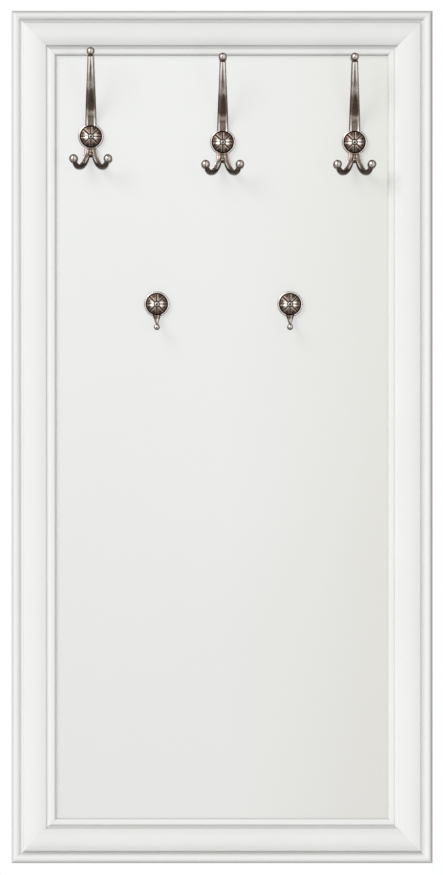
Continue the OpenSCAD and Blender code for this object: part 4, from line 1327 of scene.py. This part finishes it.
class HALLMIRROR_OT_back(bpy.types.Operator):
    """Gives the board, the fixings and the small parts their finishes"""

    bl_idname = "hall_mirror.back"
    bl_label = "Finish back"

    def execute(self, context):
        look = context.scene.hall_mirror.back
        zinc = zinc_finish(look)
        plates = [f"corner_plate_{end}_{side}" for end in ("top", "bottom") for side in SIDES]
        plates += [f"hanger_plate_{side}" for side in SIDES]
        for node in plates + ["board_clips"]:
            eased_piece(node, zinc, look.plate_edge)
        eased_piece("backing_board", fibre_finish("pressed_board", look.board), look.board_edge)
        painted = (
            (zinc, ["tee_nuts"]),
            (passivate_finish(look), ["corner_plate_screws", "board_clip_screws", "hanger_screws",
                                      "coat_hook_screws", "small_hook_screws"]),
            (grained_finish("closed_foam", look.tape, 1500.0, (0.82, 0.98), (0.0002, 0.5)),
             ["mounting_tapes"]),
            (grained_finish("block_rubber", look.rubber, 1200.0, (0.67, 0.83), (0.00008, 0.5)),
             ["setting_blocks", "side_spacers"]),
            (felt_finish(look), ["wall_bumpers"]),
            (grained_finish("nylon", look.nylon, 800.0, (0.37, 0.53), (0.00004, 0.5)),
             ["glass_sleeves"]),
            (beech_finish(look), ["mitre_splines"]),
            (grained_finish("soft_pad", look.pad, 900.0, (0.27, 0.43), (0.00004, 0.5),
                            Transmission_Weight=0.2), ["coat_hook_pads", "small_hook_pads"]),
        )
        for finish, nodes in painted:
            for node in nodes:
                paint_node(node, finish)
        return {"FINISHED"}


# ---------------------------------------------------------------- stage

def soft_light(name, place, target, size, power):
    """A rectangular soft light that looks at a target. The camera doesn't see it."""
    data = bpy.data.lights.new(name, "AREA")
    data.shape, data.energy = "RECTANGLE", power
    data.size, data.size_y = size
    lamp = bpy.data.objects.new(name, data)
    lamp.location = place
    lamp.rotation_euler = (Vector(target) - Vector(place)).to_track_quat("-Z", "Y").to_euler()
    lamp.visible_camera = False
    bpy.context.scene.collection.objects.link(lamp)


def studio_world(brightness):
    """White where it is seen, reflected or looked through, and dimmer as a light."""
    world = bpy.data.worlds.new("studio")
    bpy.context.scene.world = world
    world.use_nodes = True
    made = Nodes(world.node_tree)
    lit = made.fed(made.tree.nodes["Background"], (1, 1, 1, 1), brightness)
    seen = made.fed(made.node("ShaderNodeBackground"), (1, 1, 1, 1), 1.0)
    path = made.node("ShaderNodeLightPath").outputs
    straight = path["Is Camera Ray"]
    for ray in ("Is Glossy Ray", "Is Transmission Ray"):
        straight = made.sum_of(straight, path[ray], clamp=True)
    surface = made.blended(straight, lit, seen)
    made.feed(made.tree.nodes["World Output"].inputs["Surface"], surface)


def studio_floor(look, height):
    """A round pale floor that fades out at its edge."""
    radius, clear, middle = 2.8, 1.5, 0.02
    points, faces = lofted(turned([(r, height) for r in (middle, clear, radius)], 128))
    made = Finish("pale_floor", roughness=0.7, Specular_IOR_Level=0.2)
    cloud = made.noise(3.0, 2.0)
    surface = made.done(
        made.mixed(cloud, tinted(look.floor, 0.985), look.floor),
        made.ranged(cloud, 0.3, 0.7, 0.66, 0.74), made.bumped(made.noise(260.0, 3.0), 0.0001, 0.2),
    )
    away = made.node(
        "ShaderNodeVectorMath", {"operation": "LENGTH"}, Vector=made.stretched(1, 1, 0))
    faded = made.ranged(away.outputs["Value"], clear, radius - 0.05)
    gone = made.node("ShaderNodeBsdfTransparent").outputs[0]
    shown = made.blended(faded, made.shader.outputs[0], gone)
    made.feed(made.tree.nodes["Material Output"].inputs["Surface"], shown)
    # The ring in the middle is closed by a face, and the outermost one isn't
    solid("floor", points, faces[:-1], [surface])


class HALLMIRROR_OT_stage(bpy.types.Operator):
    """Sets the camera, the lights, the surroundings and the floor"""

    bl_idname = "hall_mirror.stage"
    bl_label = "Set stage"

    def execute(self, context):
        look = context.scene.hall_mirror.stage
        scene = context.scene
        scene.view_settings.view_transform = "Standard"
        picture_height = 875
        low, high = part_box("frame_left_stile")
        middle_x = (low.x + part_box("frame_right_stile")[1].x) / 2
        middle_z = (low.z + high.z) / 2
        data = bpy.data.cameras.new("camera")
        data.lens = look.lens
        data.clip_start, data.clip_end = 0.5, 100.0
        distance = look.lens / data.sensor_width * picture_height * look.pixel
        camera = bpy.data.objects.new("camera", data)
        camera.location = (
            middle_x - look.right, (low.y + high.y) / 2 - distance, middle_z - look.up)
        camera.rotation_euler = (math.radians(90), 0, 0)
        scene.collection.objects.link(camera)
        scene.camera = camera

        # Each soft light's place from the middle of the frame, its size and its power
        lamps = {
            "key": ((-5.0, -7.0, 5.0), (4.2, 4.6), look.key),
            "fill": ((1.5, -2.9, 0.2), (0.7, 1.5), look.fill),
            "behind": ((0.9, 2.6, 0.8), (1.6, 1.6), look.back),
        }
        for name, ((x, y, z), size, power) in lamps.items():
            soft_light(name, (x, y, middle_z + z), (middle_x, 0.0, middle_z), size, power)
        studio_world(look.sky)
        studio_floor(look, low.z - look.floor_drop)
        return {"FINISHED"}


class HALLMIRROR_PT_panel(bpy.types.Panel):
    """Settings and build steps of the mirror"""

    bl_idname = "HALLMIRROR_PT_panel"
    bl_label = "Hall mirror"
    bl_space_type = "VIEW_3D"
    bl_region_type = "UI"
    bl_category = "Hall mirror"

    def draw(self, context):
        settings = context.scene.hall_mirror
        for title, group in (("Frame", settings.moulding), ("Glass", settings.glass),
                             ("Hooks", settings.hook), ("Rosettes", settings.rosette),
                             ("Back", settings.back), ("Stage", settings.stage)):
            box = self.layout.box()
            box.label(text=title)
            for name in group.__annotations__:
                box.prop(group, name)
        for operator in OPERATORS:
            self.layout.operator(operator.bl_idname)


OPERATORS = (HALLMIRROR_OT_stage, HALLMIRROR_OT_frame, HALLMIRROR_OT_glass, HALLMIRROR_OT_hooks,
             HALLMIRROR_OT_rosettes, HALLMIRROR_OT_back)
CLASSES = (MouldingLook, GlassLook, HookLook, RosetteLook, BackLook, StageLook, HallMirror,
           *OPERATORS, HALLMIRROR_PT_panel)


def register():
    for kind in CLASSES:
        bpy.utils.register_class(kind)
    bpy.types.Scene.hall_mirror = bpy.props.PointerProperty(type=HallMirror)


def unregister():
    del bpy.types.Scene.hall_mirror
    for kind in reversed(CLASSES):
        bpy.utils.unregister_class(kind)


def main():
    register()
    bpy.ops.hall_mirror.stage()
    bpy.ops.hall_mirror.frame()
    bpy.ops.hall_mirror.glass()
    bpy.ops.hall_mirror.hooks()
    bpy.ops.hall_mirror.rosettes()
    bpy.ops.hall_mirror.back()


if __name__ == "__main__":
    main()
